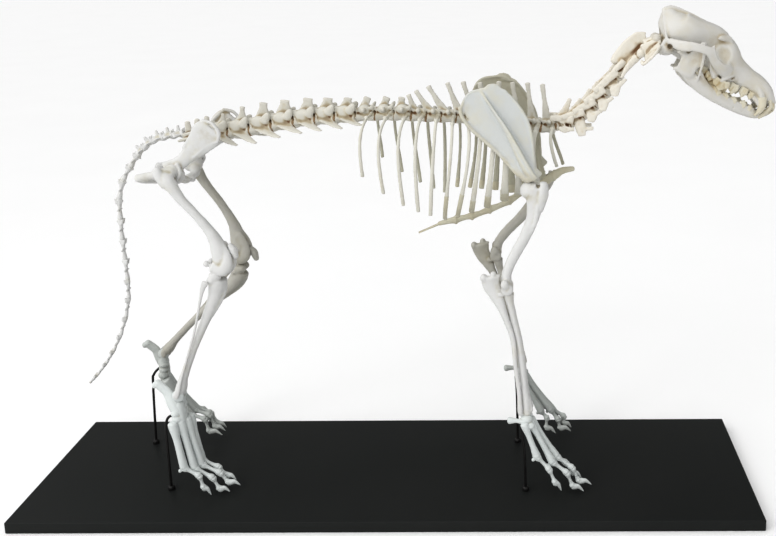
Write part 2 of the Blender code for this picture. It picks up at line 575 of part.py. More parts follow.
def femur(side):
    def shape(shapes):
        limb = HIND[side]
        frame = Frame(place(limb, "hip", side), place(limb, "knee", side), side)
        line = ((0.03, -7, 13, 7, 8), (0.1, -4, 14, 7, 8), (0.27, -1.5, 12, 5.6, 5.8),
                (0.5, 5.5, 9, 5.3, 5.3), (0.7, 9, 5, 6.6, 7), (0.85, 7, 2, 9.5, 10.5), (0.95, 3, 0, 11, 12))
        shapes.stroke([frame.at(s, toward, out) for s, toward, out, _, _ in line],
                      [(wide, deep) for _, _, _, wide, deep in line], sides=8, tips=(0.2, 0.3))
        shapes.ball(frame.at(0, 0, 0), 8)
        shapes.stroke([frame.at(0, 0, 3), frame.at(0.06, -4, 13)], [(5, 5), (6, 7)], across=frame.span,
                      sides=6)
        shapes.stroke([frame.at(0.06, -9, 15), frame.at(-0.07, -9, 16)], [(5, 6), (4, 5)], sides=6)
        for out in (-6.5, 6.5):
            shapes.stroke([frame.at(0.88, 13, out * 0.7), frame.at(1.0, 9, out), frame.at(1.04, 0, out),
                           frame.at(0.98, -10, out)], [(3.6, 5), (4.4, 6), (4.8, 6.5), (4.8, 6)], sides=6)
    return shape


# Where each kneecap lies, as (share of the thigh, distance to the front).
KNEECAPS = {RIGHT: (0.92, 21), LEFT: (1.05, 17)}


def patella(side):
    def shape(shapes):
        limb = HIND[side]
        frame = Frame(place(limb, "hip", side), place(limb, "knee", side), side)
        share, lift = KNEECAPS[side]
        shapes.stroke([frame.at(share - 0.05, lift - 1), frame.at(share, lift),
                       frame.at(share + 0.06, lift - 1)], [(4, 2.6), (5, 4), (3, 2.4)], sides=8)
    return shape


def shin(side):
    limb = HIND[side]
    return Frame(place(limb, "shin", side), place(limb, "ankle", side), side)


def tibia(side):
    def shape(shapes):
        frame = shin(side)
        line = ((0.095, 3, 12, 11.5), (0.15, 4.5, 11, 10.5), (0.25, 5, 7.5, 8), (0.4, 3, 5.4, 6.2),
                (0.62, 0, 4.8, 5), (0.85, -1, 5.6, 5.2), (0.94, 0, 8.5, 7), (0.98, 0, 8.5, 7))
        shapes.stroke([frame.at(s, toward) for s, toward, _, _ in line],
                      [(wide, deep) for _, _, wide, deep in line], sides=8, tips=(0.2, 0.2))
        shapes.stroke([frame.at(0.13, 11), frame.at(0.22, 11), frame.at(0.32, 8.5), frame.at(0.44, 5)],
                      [(4.5, 4.5), (3, 5), (2.2, 4.5), (1.8, 3)], sides=5)
    return shape


def fibula(side):
    def shape(shapes):
        frame = shin(side)
        shapes.stroke([frame.at(0.12, -8, 14), frame.at(0.19, -9, 12.5), frame.at(0.5, -4, 8),
                       frame.at(0.85, -2, 8), frame.at(0.99, -1, 10.5)],
                      [(2.4, 4), (1.6, 2), (1.3, 1.6), (1.4, 1.8), (2.2, 3.6)], sides=5)
    return shape


def hindfoot(side):
    def shape(shapes):
        ankle, heel, tarsus = (place(HIND[side], name, side) for name in ("ankle", "heel", "tarsus"))
        down = (tarsus - ankle).normalized()
        front = Vector((0, -1, 0)).cross(down)
        sideways = Y_AXIS * side
        shapes.stroke([ankle - sideways * 5, ankle + sideways * 5], [7.5, 7.5], across=front, sides=8,
                      tips=(0.3, 0.3))
        shapes.stroke([ankle + down * 3 - front * 3, ankle + down * 14 - front * 3,
                       ankle.lerp(tarsus, 0.7), tarsus], [(8, 8.5), (9.5, 10), (11, 9), (11.5, 8)], sides=8)
        shapes.stroke([ankle + down * 12 - front * 7 + sideways * 3,
                       ankle.lerp(heel, 0.5) + down * 3 + sideways * 2, heel],
                      [(4.5, 7), (3.6, 6.5), (4.8, 5.5)], sides=6)
        toes(shapes, HIND_TOES[side], side)
    return shape


# Assembly

def one_body(meshes, name):
    """The union of closed meshes, kept to its largest closed surface."""
    pieces = bpy.data.collections.new("pieces of " + name)
    bpy.context.scene.collection.children.link(pieces)
    base, *others = [bpy.data.objects.new(name, mesh) for mesh in meshes]
    bpy.context.scene.collection.objects.link(base)
    for piece in others:
        pieces.objects.link(piece)
    mesh = boolean(base, pieces, "UNION") if others else base.data.copy()
    for piece in (base, *others):
        bpy.data.objects.remove(piece)
    bpy.data.collections.remove(pieces)
    return largest_surface(mesh)


def boolean(base, others, operation, solver="EXACT"):
    join = base.modifiers.new("join", "BOOLEAN")
    join.operation = operation
    join.operand_type = "COLLECTION"
    join.collection = others
    join.solver = solver
    depsgraph = bpy.context.evaluated_depsgraph_get()
    return bpy.data.meshes.new_from_object(base.evaluated_get(depsgraph))


def largest_surface(mesh):
    """Merges slivers as far as the surface stays closed, and keeps its largest closed part."""
    for distance in SLIVERS:
        shape = bmesh.new()
        shape.from_mesh(mesh)
        bmesh.ops.remove_doubles(shape, verts=shape.verts, dist=distance)
        bmesh.ops.dissolve_degenerate(shape, edges=shape.edges, dist=distance)
        bmesh.ops.triangulate(shape, faces=shape.faces)
        drop_scraps(shape)
        if all(item.is_manifold for item in (*shape.edges, *shape.verts)):
            break
    bmesh.ops.recalc_face_normals(shape, faces=shape.faces)
    shape.to_mesh(mesh)
    shape.free()
    return mesh


def drop_scraps(shape):
    unseen = set(shape.faces)
    surfaces = []
    while unseen:
        front = [unseen.pop()]
        surface = list(front)
        while front:
            touching = {other for edge in front.pop().edges for other in edge.link_faces if other in unseen}
            unseen -= touching
            front += touching
            surface += touching
        surfaces.append(surface)
    surfaces.sort(key=len)
    scraps = [face for surface in surfaces[:-1] for face in surface]
    bmesh.ops.delete(shape, geom=scraps, context="FACES")


def cut_at_middle(mesh, side):
    """Keeps one side of a mesh, half a gap from the middle plane, and closes it there."""
    shape = bmesh.new()
    shape.from_mesh(mesh)
    everything = [*shape.verts, *shape.edges, *shape.faces]
    cut = bmesh.ops.bisect_plane(shape, geom=everything, plane_co=(0, side * GAP / 2, 0),
                                 plane_no=(0, side, 0), clear_inner=True)
    edges = [item for item in cut["geom_cut"] if isinstance(item, bmesh.types.BMEdge)]
    bmesh.ops.holes_fill(shape, edges=edges, sides=0)
    shape.to_mesh(mesh)
    shape.free()
    return largest_surface(mesh)


def tree_of(mesh):
    return BVHTree.FromPolygons([vertex.co.copy() for vertex in mesh.vertices],
                                [tuple(face.vertices) for face in mesh.polygons])


def cut_back(mesh, cutter):
    """Takes the cutter away from the mesh, where the two meet."""
    if not tree_of(mesh).overlap(tree_of(cutter)):
        return mesh
    others = bpy.data.collections.new("cutters")
    bpy.context.scene.collection.children.link(others)
    others.objects.link(bpy.data.objects.new("cutter", cutter))
    base = bpy.data.objects.new("base", mesh)
    bpy.context.scene.collection.objects.link(base)
    result = boolean(base, others, "DIFFERENCE")
    for item in (base, *others.objects):
        bpy.data.objects.remove(item)
    bpy.data.collections.remove(others)
    return largest_surface(result)


def rods():
    top = BOARD_HEIGHT + GAP
    return {
        "stand_rod_fore_right": rod([(168, -58, top), (167, -60, 60), (164, -62, 100)]),
        "stand_rod_fore_left": rod([(158, 62, top), (157, 62, 80), (153, 62, 110)]),
        "stand_rod_hind_right": rod([(-276, -53, top), (-276, -54, 90), (-273, -55, 110),
                                     (-265, -57, 117)]),
        "stand_rod_hind_left": rod([(-339, 63, top), (-336, 63, 100), (-333, 62, 116),
                                    (-322, 61, 128)]),
    }


def bones():
    """Every node by name, in the order in which one cuts back the next."""
    made = {"skull": skull, "mandible": mandible, "sternum": sternum, "sacrum": sacrum,
            "lumbar_spine": loins, "thorax_right": chest_side(RIGHT), "thorax_left": chest_side(LEFT),
            "neck": neck, "axis": axis, "atlas": atlas}
    for name, (first, last) in TAIL_PARTS.items():
        made[name] = tail_part(first, last)
    limbs = {"humerus": humerus, "scapula": scapula, "radius": radius, "ulna": ulna, "forefoot": forefoot,
             "femur": femur, "patella": patella, "tibia": tibia, "fibula": fibula, "hindfoot": hindfoot}
    for side, word in ((RIGHT, "right"), (LEFT, "left")):
        for name, recipe in limbs.items():
            made[f"{name}_{word}"] = recipe(side)
    made["pelvis"] = pelvis
    return made


def build():
    for item in list(bpy.data.objects):
        bpy.data.objects.remove(item)
    bone = surface("bone", (0.83, 0.8, 0.7), 0.5)
    black = surface("black lacquer", (0.01, 0.01, 0.012), 0.25)
    dark_steel = surface("black steel", (0.02, 0.02, 0.02), 0.35, 0.8)
    collection = bpy.data.collections.new("dog skeleton")
    bpy.context.scene.collection.children.link(collection)
    root = bpy.data.objects.new("dog_skeleton", None)
    collection.objects.link(root)
    recipes = {"stand_base": board, **bones(), **rods()}
    cutters = []
    for name, recipe in recipes.items():
        plain, grown = Shapes(), Shapes(GAP)
        recipe(plain)
        recipe(grown)
        mesh = one_body(plain.meshes, name)
        if name.startswith("thorax"):
            mesh = cut_at_middle(mesh, RIGHT if name.endswith("right") else LEFT)
        for cutter in cutters:
            if {name, cutter[0]} != {"thorax_right", "thorax_left"}:
                mesh = cut_back(mesh, cutter[1])
        cutters.append((name, one_body(grown.meshes, name + " cutter")))
        mesh.transform(Matrix.Scale(METRES, 4))
        mesh.name = name
        mesh.materials.clear()
        looks = {"stand_base": black, "stand_rod": dark_steel}
        mesh.materials.append(next((looks[key] for key in looks if name.startswith(key)), bone))
        if name != "stand_base":
            mesh.shade_smooth()
            mesh.set_sharp_from_angle(angle=math.radians(50))
        solid = bpy.data.objects.new(name, mesh)
        solid.parent = root
        collection.objects.link(solid)
        print(name, len(mesh.polygons))


build()
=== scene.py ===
import json
import math

import bmesh
import bpy
import numpy as np
from mathutils import Matrix, Vector

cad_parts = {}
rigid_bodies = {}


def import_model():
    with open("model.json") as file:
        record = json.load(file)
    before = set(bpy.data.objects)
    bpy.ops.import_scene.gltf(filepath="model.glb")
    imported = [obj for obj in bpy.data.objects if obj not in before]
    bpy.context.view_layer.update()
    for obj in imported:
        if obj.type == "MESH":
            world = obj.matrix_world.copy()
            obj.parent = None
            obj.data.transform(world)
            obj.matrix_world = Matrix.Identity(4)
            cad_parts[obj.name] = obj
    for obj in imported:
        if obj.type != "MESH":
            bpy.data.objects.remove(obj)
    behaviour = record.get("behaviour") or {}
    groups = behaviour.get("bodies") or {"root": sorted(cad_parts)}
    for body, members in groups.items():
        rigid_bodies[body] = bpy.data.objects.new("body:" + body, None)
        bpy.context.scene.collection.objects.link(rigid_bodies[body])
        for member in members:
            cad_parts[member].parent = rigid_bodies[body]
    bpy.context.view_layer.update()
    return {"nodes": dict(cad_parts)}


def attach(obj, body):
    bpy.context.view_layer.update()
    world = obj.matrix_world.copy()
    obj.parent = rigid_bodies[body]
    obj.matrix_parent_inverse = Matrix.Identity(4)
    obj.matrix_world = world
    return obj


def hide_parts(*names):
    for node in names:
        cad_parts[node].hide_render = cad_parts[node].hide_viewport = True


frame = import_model()
print("frame loaded with", len(frame["nodes"]), "nodes")

# The bones are shaped in millimetres, X to the nose, Y to the dog's left, Z up, and finished in metres
mm = 0.001
right, left = -1, 1
sideways = Vector((0, 1, 0))
lengthways = Vector((1, 0, 0))
upright = Vector((0, 0, 1))
sideNames = {right: "right", left: "left"}


# Camera

camera = {
    "place": (0.16603244, -1.13000618, 0.666154),
    "pitch": 0.204643, "yaw": 0.0120757, "roll": -0.0107438,
    "lens": 44.07, "sensor": 36, "shiftX": -122 / 776, "shiftY": -116 / 776,
}


def addCamera():
    pitch, roll = camera["pitch"], camera["roll"]
    turn = Matrix.Rotation(camera["yaw"], 3, "Z")
    ahead = turn @ Vector((0, math.cos(pitch), -math.sin(pitch)))
    above = turn @ Vector((0, math.sin(pitch), math.cos(pitch)))
    beside = turn @ lengthways
    across = beside * math.cos(roll) + above * math.sin(roll)
    top = above * math.cos(roll) - beside * math.sin(roll)
    eye = bpy.data.objects.new("camera", bpy.data.cameras.new("camera"))
    bpy.context.scene.collection.objects.link(eye)
    turned = Matrix((across, top, -ahead)).transposed().to_4x4()
    eye.matrix_world = Matrix.Translation(camera["place"]) @ turned
    eye.data.sensor_width = camera["sensor"]
    eye.data.lens = camera["lens"]
    eye.data.shift_x = camera["shiftX"]
    eye.data.shift_y = camera["shiftY"]
    eye.data.clip_start = 0.01
    bpy.context.scene.camera = eye


addCamera()
print("camera placed")


# Materials

class Flow:
    def __init__(self, shop, socket):
        self.shop = shop
        self.socket = socket

    def combine(self, operation, first, second):
        return self.shop.add("ShaderNodeMath", {"operation": operation}, {0: first, 1: second})

    def __add__(self, other):
        return self.combine("ADD", self, other)

    def __radd__(self, other):
        return self.combine("ADD", other, self)

    def __sub__(self, other):
        return self.combine("SUBTRACT", self, other)

    def __rsub__(self, other):
        return self.combine("SUBTRACT", other, self)

    def __mul__(self, other):
        return self.combine("MULTIPLY", self, other)

    def __rmul__(self, other):
        return self.combine("MULTIPLY", other, self)

    def clamped(self):
        return self.shop.add("ShaderNodeClamp", {}, {"Value": self})


class Finish:
    def __init__(self, name, **constants):
        self.material = bpy.data.materials.new(name)
        self.material.use_nodes = True
        self.tree = self.material.node_tree
        self.surface = self.tree.nodes["Principled BSDF"]
        self.put(self.surface, constants)

    def put(self, node, values):
        for key, value in values.items():
            if isinstance(value, Flow):
                self.tree.links.new(value.socket, node.inputs[key])
            else:
                node.inputs[key].default_value = value

    def add(self, kind, settings, values, output=0):
        node = self.tree.nodes.new(kind)
        for key, value in settings.items():
            if key == "stops":
                ramp = node.color_ramp.elements
                while len(ramp) < len(value):
                    ramp.new(0.5)
                for stop, (place, colour) in zip(ramp, value):
                    stop.position = place
                    stop.color = (*colour, 1)
            else:
                setattr(node, key, value)
        self.put(node, values)
        return Flow(self, node.outputs[output])

    def place(self):
        return self.add("ShaderNodeTexCoord", {}, {}, "Object")

    def noise(self, scale, detail=3, roughness=0.5):
        return self.add("ShaderNodeTexNoise", {}, {"Vector": self.place(), "Scale": scale, "Detail": detail,
                                                   "Roughness": roughness})

    def painted(self, name):
        return self.add("ShaderNodeAttribute", {"attribute_name": name}, {}, "Fac")

    def between(self, low, high, factor):
        # The colour sockets of a Mix node are 6 and 7, and its colour comes out of 2
        low, high = (colour if isinstance(colour, Flow) else (*colour, 1) for colour in (low, high))
        return self.add("ShaderNodeMix", {"data_type": "RGBA"}, {0: factor, 6: low, 7: high}, 2)

    def bump(self, height, strength, distance):
        relief = self.add("ShaderNodeBump", {},
                          {"Height": height, "Strength": strength, "Distance": distance})
        self.put(self.surface, {"Normal": relief})


# Colours of the bones: clean, warm where the bone is thick or handled, stained where glue and fat darken
# it, and darker where the shade spots paint shade
# Warmth is how much is warm all over, and depth how much the hollows are painted warmer and darker as
# shade, or the ridges where it is below 0
boneLooks = {
    "bone skull": {"clean": (0.62, 0.61, 0.58), "warm": (0.57, 0.53, 0.42), "stain": (0.26, 0.16, 0.06),
                   "warmth": 0.2, "depth": 0.35},
    "bone column": {"clean": (0.60, 0.585, 0.53), "warm": (0.53, 0.48, 0.36), "stain": (0.15, 0.08, 0.035),
                    "warmth": 0.3, "depth": 1.3},
    # A lighter copy of the column's colours: painted light where the neck stands in shade
    "lightened bone neck": {"clean": (0.70, 0.67, 0.60), "warm": (0.62, 0.55, 0.42), "stain": (0.15, 0.08, 0.035),
                  "warmth": 0.3, "depth": 1.3},
    "bone ribs": {"clean": (0.61, 0.60, 0.54), "warm": (0.52, 0.47, 0.34), "stain": (0.24, 0.15, 0.07),
                  "warmth": 0.3, "depth": 0.7},
    # Darker olive copy for the far ribs: mostly painted shade
    "shaded far ribs": {"clean": (0.47, 0.46, 0.38), "warm": (0.41, 0.38, 0.28), "stain": (0.20, 0.13, 0.06),
                 "warmth": 0.4, "depth": 0.7},
    "rib ends": {"clean": (0.55, 0.53, 0.43), "warm": (0.47, 0.42, 0.30), "stain": (0.20, 0.13, 0.06),
                 "warmth": 0.5, "depth": 0.7},
    "bone blades": {"clean": (0.57, 0.585, 0.575), "warm": (0.60, 0.58, 0.48), "stain": (0.29, 0.22, 0.12),
                    "warmth": 0.2, "depth": -0.6},
    # Darker olive copy for the far shoulder blade: mostly painted shade
    "shaded far blades": {"clean": (0.50, 0.49, 0.42), "warm": (0.41, 0.38, 0.28), "stain": (0.21, 0.16, 0.09),
                   "warmth": 0.3, "depth": 0.2},
    "bone limbs": {"clean": (0.64, 0.64, 0.63), "warm": (0.58, 0.56, 0.47), "stain": (0.26, 0.20, 0.11),
                   "warmth": 0.2, "depth": 0.5},
    # Darker olive copy for the far limbs: mostly painted shade
    "shaded far limbs": {"clean": (0.45, 0.44, 0.40), "warm": (0.40, 0.38, 0.31), "stain": (0.21, 0.17, 0.10),
                  "warmth": 0.3, "depth": 0.5},
    "bone feet": {"clean": (0.64, 0.67, 0.66), "warm": (0.58, 0.59, 0.54), "stain": (0.20, 0.19, 0.16),
                  "warmth": 0.2, "depth": 1},
    # Darker olive copy for the far feet: mostly painted shade
    "shaded far feet": {"clean": (0.50, 0.52, 0.50), "warm": (0.45, 0.46, 0.41), "stain": (0.17, 0.16, 0.13),
                 "warmth": 0.2, "depth": 1},
    "cartilage": {"clean": (0.32, 0.23, 0.14), "warm": (0.24, 0.16, 0.09), "stain": (0.13, 0.07, 0.03),
                  "warmth": 0.6, "depth": 0.5},
    "enamel": {"clean": (0.63, 0.60, 0.50), "warm": (0.54, 0.46, 0.29), "stain": (0.22, 0.13, 0.05),
               "warmth": 0.4, "depth": 0.8},
}
# The left side takes the darker copies: painted shade on the far limbs, feet, blades and ribs
limbLooks = {right: "bone limbs", left: "shaded far limbs"}
footLooks = {right: "bone feet", left: "shaded far feet"}
bladeLooks = {right: "bone blades", left: "shaded far blades"}
ribLooks = {right: "bone ribs", left: "shaded far ribs"}


# How fine each finish's noise is: a higher number is finer
noiseScales = {"mottle": 38, "grain": 420, "haze": 5, "dust": 900, "wear": 300, "paper": 3}


def boneFinish(name):
    look = boneLooks[name]
    finish = Finish(name, Roughness=0.5, **{"Specular IOR Level": 0.35})
    mottle = finish.noise(noiseScales["mottle"], 5, 0.6)
    grain = finish.noise(noiseScales["grain"], 3, 0.6)
    hollow = finish.painted("hollow")
    stain = finish.painted("stain")
    # Warmth: the mottle and the look's warmth, plus painted shade that warms the hollows, plus the stain
    # and shade spots
    warmth = ((mottle - 0.42) * 2 + look["warmth"] - 0.2 + hollow * look["depth"] + stain * 0.8).clamped()
    # Painted shade in the creases, darkening them towards the stain colour
    creaseShade = hollow * (stain + 0.4) * max(look["depth"], 0)
    # Real stains and grain, with the painted shade of the creases and of the shade spots
    dirtAndShade = (stain * (0.25 + mottle * 0.8) + creaseShade + (grain - 0.62) * 0.25).clamped()
    base = finish.between(look["clean"], look["warm"], warmth)
    colour = finish.between(base, look["stain"], dirtAndShade)
    finish.put(finish.surface, {"Base Color": colour, "Roughness": 0.42 + 0.2 * mottle})
    finish.bump(grain + mottle * 2, 0.25, 0.0004)
    return finish.material


def lacquerFinish():
    finish = Finish("black lacquer", **{"Specular IOR Level": 0.15})
    haze = finish.noise(noiseScales["haze"], 4, 0.6)
    dust = finish.noise(noiseScales["dust"], 2, 0.7)
    tone = finish.between((0.026, 0.028, 0.027), (0.037, 0.038, 0.037), (haze - 0.3).clamped())
    finish.put(finish.surface, {"Base Color": tone, "Roughness": 0.26 + 0.2 * haze + 0.06 * dust})
    finish.bump(dust, 0.08, 0.0001)
    return finish.material


def enamelledRodFinish():
    finish = Finish("black rod", Metallic=0.2)
    wear = finish.noise(noiseScales["wear"], 4, 0.6)
    finish.put(finish.surface,
               {"Base Color": finish.between((0.006, 0.006, 0.007), (0.03, 0.028, 0.026), wear),
                "Roughness": 0.3 + 0.3 * wear})
    return finish.material


def paperFinish():
    finish = Finish("pale paper", Roughness=0.9)
    tone = finish.noise(noiseScales["paper"], 2)
    finish.put(finish.surface, {"Base Color": finish.between((0.96, 0.96, 0.96), (0.99, 0.99, 0.99), tone)})
    return finish.material


finishes = {name: boneFinish(name) for name in boneLooks}
finishes["lacquer"] = lacquerFinish()
finishes["rod"] = enamelledRodFinish()
print("materials made")


# Making shapes: a circle is extruded along a smooth line, and a skin is drawn round all that it meets

def smoothLine(stations, steps):
    last = len(stations) - 1
    line = []
    for index in range(last):
        before, start, end, after = (stations[min(max(index + shift, 0), last)] for shift in (-1, 0, 1, 2))
        for step in range(steps):
            t = step / steps
            bend = 2 * before - 5 * start + 4 * end - after
            twist = 3 * start - before - 3 * end + after
            line.append(0.5 * (2 * start + (end - before) * t + bend * t ** 2 + twist * t ** 3))
    return line + [stations[-1]]


def rounded(line, amount):
    # Shrinking rings past the end of the line make a dome there
    if not amount:
        return line
    end = line[-1]
    outward = end[:3] - line[-2][:3]
    outward = outward / max(np.linalg.norm(outward), 1e-6)
    reach = amount * min(end[3:])
    dome = []
    for angle in (0.45, 0.85, 1.2, 1.45):
        ring = end.copy()
        ring[:3] = end[:3] + outward * reach * math.sin(angle)
        ring[3:] = end[3:] * math.cos(angle)
        dome.append(ring)
    return line + dome


def ringPlace(line, index, across):
    ahead = line[min(index + 1, len(line) - 1)][:3] - line[max(index - 1, 0)][:3]
    tangent = Vector(ahead).normalized()
    wide = (across - tangent * across.dot(tangent)).normalized()
    deep = tangent.cross(wide)
    width, depth = (max(size, 0.05) for size in line[index][3:])
    turned = Matrix((wide * width, deep * depth, tangent)).transposed().to_4x4()
    return Matrix.Translation(line[index][:3]) @ turned


def loft(shape, points, sizes, across=sideways, sides=16, ends=(0.8, 0.8), steps=5, boxy=2):
    # A size is half the width along across, then half the depth, or one number for both
    # A section is an ellipse, and squarer the higher boxy is
    pairs = [size if isinstance(size, tuple) else (size, size) for size in sizes]
    stations = [np.array((*point, *pair), float) for point, pair in zip(points, pairs)]
    line = rounded(smoothLine(stations, steps), ends[1])
    line = rounded(line[::-1], ends[0])[::-1]
    last = ringPlace(line, 0, across)
    start = bmesh.ops.create_circle(shape, segments=sides, radius=1)["verts"]
    for vertex in start:
        vertex.co *= (abs(vertex.co.x) ** boxy + abs(vertex.co.y) ** boxy) ** (-1 / boxy)
    bmesh.ops.transform(shape, matrix=last, verts=start)
    mouth = list(dict.fromkeys(edge for vertex in start for edge in vertex.link_edges))
    rim = mouth
    for index in range(1, len(line)):
        place = ringPlace(line, index, across)
        made = bmesh.ops.extrude_edge_only(shape, edges=rim)["geom"]
        fresh = [item for item in made if isinstance(item, bmesh.types.BMVert)]
        rim = [item for item in made if isinstance(item, bmesh.types.BMEdge) and item.is_boundary]
        bmesh.ops.transform(shape, matrix=place @ last.inverted(), verts=fresh)
        last = place
    bmesh.ops.holes_fill(shape, edges=mouth + rim, sides=0)


def rowLoft(shape, at, rows, **options):
    # Each row is the three numbers that at turns into a place, then half the width and half the depth
    loft(shape, [at(*row[:3]) for row in rows], [row[3:] if len(row) > 4 else row[3] for row in rows],
         **options)


def besides(side):
    # Places on one side of the dog: along it, out from its middle, and up
    return lambda x, out, z: (x, out * side, z)


bothSides = (besides(right), besides(left))


def ball(shape, centre, radii, turn=None):
    # The radii run along X, Y and Z unless it is turned
    radii = radii if isinstance(radii, tuple) else (radii,) * 3
    place = Matrix.Translation(Vector(centre)) @ (turn or Matrix.Identity(4)) @ Matrix.Diagonal((*radii, 1))
    bmesh.ops.create_icosphere(shape, subdivisions=3, radius=1, matrix=place)


def meshOf(shape, name="shape"):
    bmesh.ops.recalc_face_normals(shape, faces=shape.faces)
    mesh = bpy.data.meshes.new(name)
    shape.to_mesh(mesh)
    shape.free()
    return mesh


def voxelSkin(body, voxel):
    skin = body.modifiers.new("skin", "REMESH")
    skin.mode = "VOXEL"
    skin.voxel_size = voxel


lumpTexture = bpy.data.textures.new("lumps", "CLOUDS")
lumpTexture.noise_scale = 9
lumpTexture.noise_depth = 3


def skinned(add, voxel=1.0, rounds=4, carve=None, lumps=0.5):
    # One closed skin round the shapes that add makes, less what carve makes
    scene = bpy.context.scene.collection.objects
    shape = bmesh.new()
    add(shape)
    body = bpy.data.objects.new("body", meshOf(shape))
    scene.link(body)
    voxelSkin(body, voxel)
    cutter = None
    if carve:
        shape = bmesh.new()
        carve(shape)
        cutter = bpy.data.objects.new("cutter", meshOf(shape))
        scene.link(cutter)
        voxelSkin(cutter, voxel)
        cut = body.modifiers.new("cut", "BOOLEAN")
        cut.operation = "DIFFERENCE"
        cut.object = cutter
        cut.solver = "MANIFOLD"
        voxelSkin(body, voxel)
    if lumps:
        bulge = body.modifiers.new("lumps", "DISPLACE")
        bulge.texture = lumpTexture
        bulge.texture_coords = "LOCAL"
        bulge.strength = lumps
        bulge.mid_level = 0.5
    if rounds:
        soft = body.modifiers.new("soft", "SMOOTH")
        soft.factor = 0.5
        soft.iterations = rounds
    graph = bpy.context.evaluated_depsgraph_get()
    mesh = bpy.data.meshes.new_from_object(body.evaluated_get(graph))
    for item in (body, cutter):
        if item:
            bpy.data.objects.remove(item)
    return mesh


def plain(add):
    # The shapes as they are, with no skin drawn round them
    shape = bmesh.new()
    add(shape)
    return meshOf(shape)


def joined(meshes):
    shape = bmesh.new()
    for mesh in meshes:
        shape.from_mesh(mesh)
    mesh = bpy.data.meshes.new("joined")
    shape.to_mesh(mesh)
    shape.free()
    return mesh


creaseGain = 2.2


# The finishes use this as painted shade: the hollows come out warmer and darker
def hollows(mesh, rounds):
    # How far each point lies below its surroundings, blurred so many times: about 1 in a sharp crease
    count = len(mesh.vertices)
    points = np.empty(count * 3)
    normals = np.empty(count * 3)
    mesh.vertices.foreach_get("co", points)
    mesh.vertex_normals.foreach_get("vector", normals)
    points, normals = points.reshape(-1, 3), normals.reshape(-1, 3)
    edges = np.empty(len(mesh.edges) * 2, int)
    mesh.edges.foreach_get("vertices", edges)
    ends = np.concatenate([edges.reshape(-1, 2), edges.reshape(-1, 2)[:, ::-1]])
    degree = np.maximum(np.bincount(ends[:, 0], minlength=count), 1)
    blurred = points.copy()
    for _ in range(rounds):
        total = [np.bincount(ends[:, 0], weights=blurred[ends[:, 1], axis], minlength=count)
                 for axis in range(3)]
        blurred = np.stack(total, 1) / degree[:, None]
    return np.clip(((blurred - points) * normals).sum(1) * creaseGain, -0.5, 1)


# Darkens towards the stain colour round spots: real stains at joints and gums, and painted shade in
# openings, under ledges and between bones
def shadeAndStainNear(mesh, spots):
    # Each spot is its centre, radius and strength
    points = np.empty(len(mesh.vertices) * 3)
    mesh.vertices.foreach_get("co", points)
    points = points.reshape(-1, 3)
    stain = np.zeros(len(points))
    for centre, radius, strength in spots:
        far = np.linalg.norm(points - np.array(centre), axis=1) / radius
        stain = np.maximum(stain, strength * np.clip(1 - far, 0, 1) ** 0.7)
    return stain


def finishPiece(name, meshes, finish, nodes, spots=(), rounds=16):
    # Rounds says how wide the hollows are that the finish darkens with painted shade
    mesh = joined(meshes)
    for label, values in (("hollow", hollows(mesh, rounds)), ("stain", shadeAndStainNear(mesh, spots))):
        mesh.attributes.new(label, "FLOAT", "POINT").data.foreach_set("value", values)
    mesh.transform(Matrix.Scale(mm, 4))
    mesh.name = name
    mesh.materials.clear()
    mesh.materials.append(finishes[finish])
    mesh.shade_smooth()
    piece = bpy.data.objects.new(name, mesh)
    bpy.context.scene.collection.objects.link(piece)
    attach(piece, "root")
    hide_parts(*nodes)
    print("made", name, len(mesh.polygons), "faces")
    return piece


# Skull, in lengths along it, height above its axis and distance to the side

skullAxis = {"origin": Vector((333, 0, 561)), "forward": Vector((0.8988, 0, -0.4384)),
             "up": Vector((0.4384, 0, 0.8988))}


def head(forward, up, side=0.0):
    return skullAxis["origin"] + skullAxis["forward"] * forward + skullAxis["up"] * up + sideways * side


def halfHead(side):
    return lambda forward, up, out: head(forward, up, out * side)


headSides = (halfHead(right), halfHead(left))


skullSizes = {
    # Each station is forward, bottom, top and half the width
    "case": ((-14, 31, 42, 4), (-10, 24, 44, 10), (-3, 13, 45.5, 18), (8, 3, 46, 25), (24, 4, 46, 27),
             (38, 8, 47, 23), (50, 8, 48, 19), (60, 6, 46, 16)),
    "face": ((50, 4, 44, 13), (58, -4, 45, 20), (66, -9, 42, 26), (75, -11.5, 36.5, 27),
             (84, -12, 30.5, 24.5), (96, -10, 24.5, 19.5), (110, -9.5, 20, 16.5), (124, -9.5, 17.5, 14.8),
             (136, -10, 12.5, 13.6), (146, -11, 5, 11), (153, -10, -1, 7)),
    # The eye's bowl: its centre, its radii, and how far it tilts to the nose
    "eye": ((62.5, 25.5, 35), (18.5, 16, 12.5), 0.6),
    "ear": (8, 6, 26),
    "canine": (137, 14),
}
# Each cheek tooth: forward, out, gum, half the length, tip
upperTeeth = ((56, 19, -6, 3.5, -11), (65, 21.5, -9, 5.5, -15), (80, 24, -11, 9.5, -19.5),
              (97, 18.5, -9, 5.4, -18), (110.5, 15.5, -8, 4.8, -16), (120.5, 14, -9, 3.2, -14))
lowerTeeth = ((60, 24, 5, -14), (77, 21, 8.5, -14), (92, 18, 5, -17), (104, 15.5, 4.6, -17.5),
              (117, 13, 4.6, -16.5), (127, 11.5, 2.6, -18))


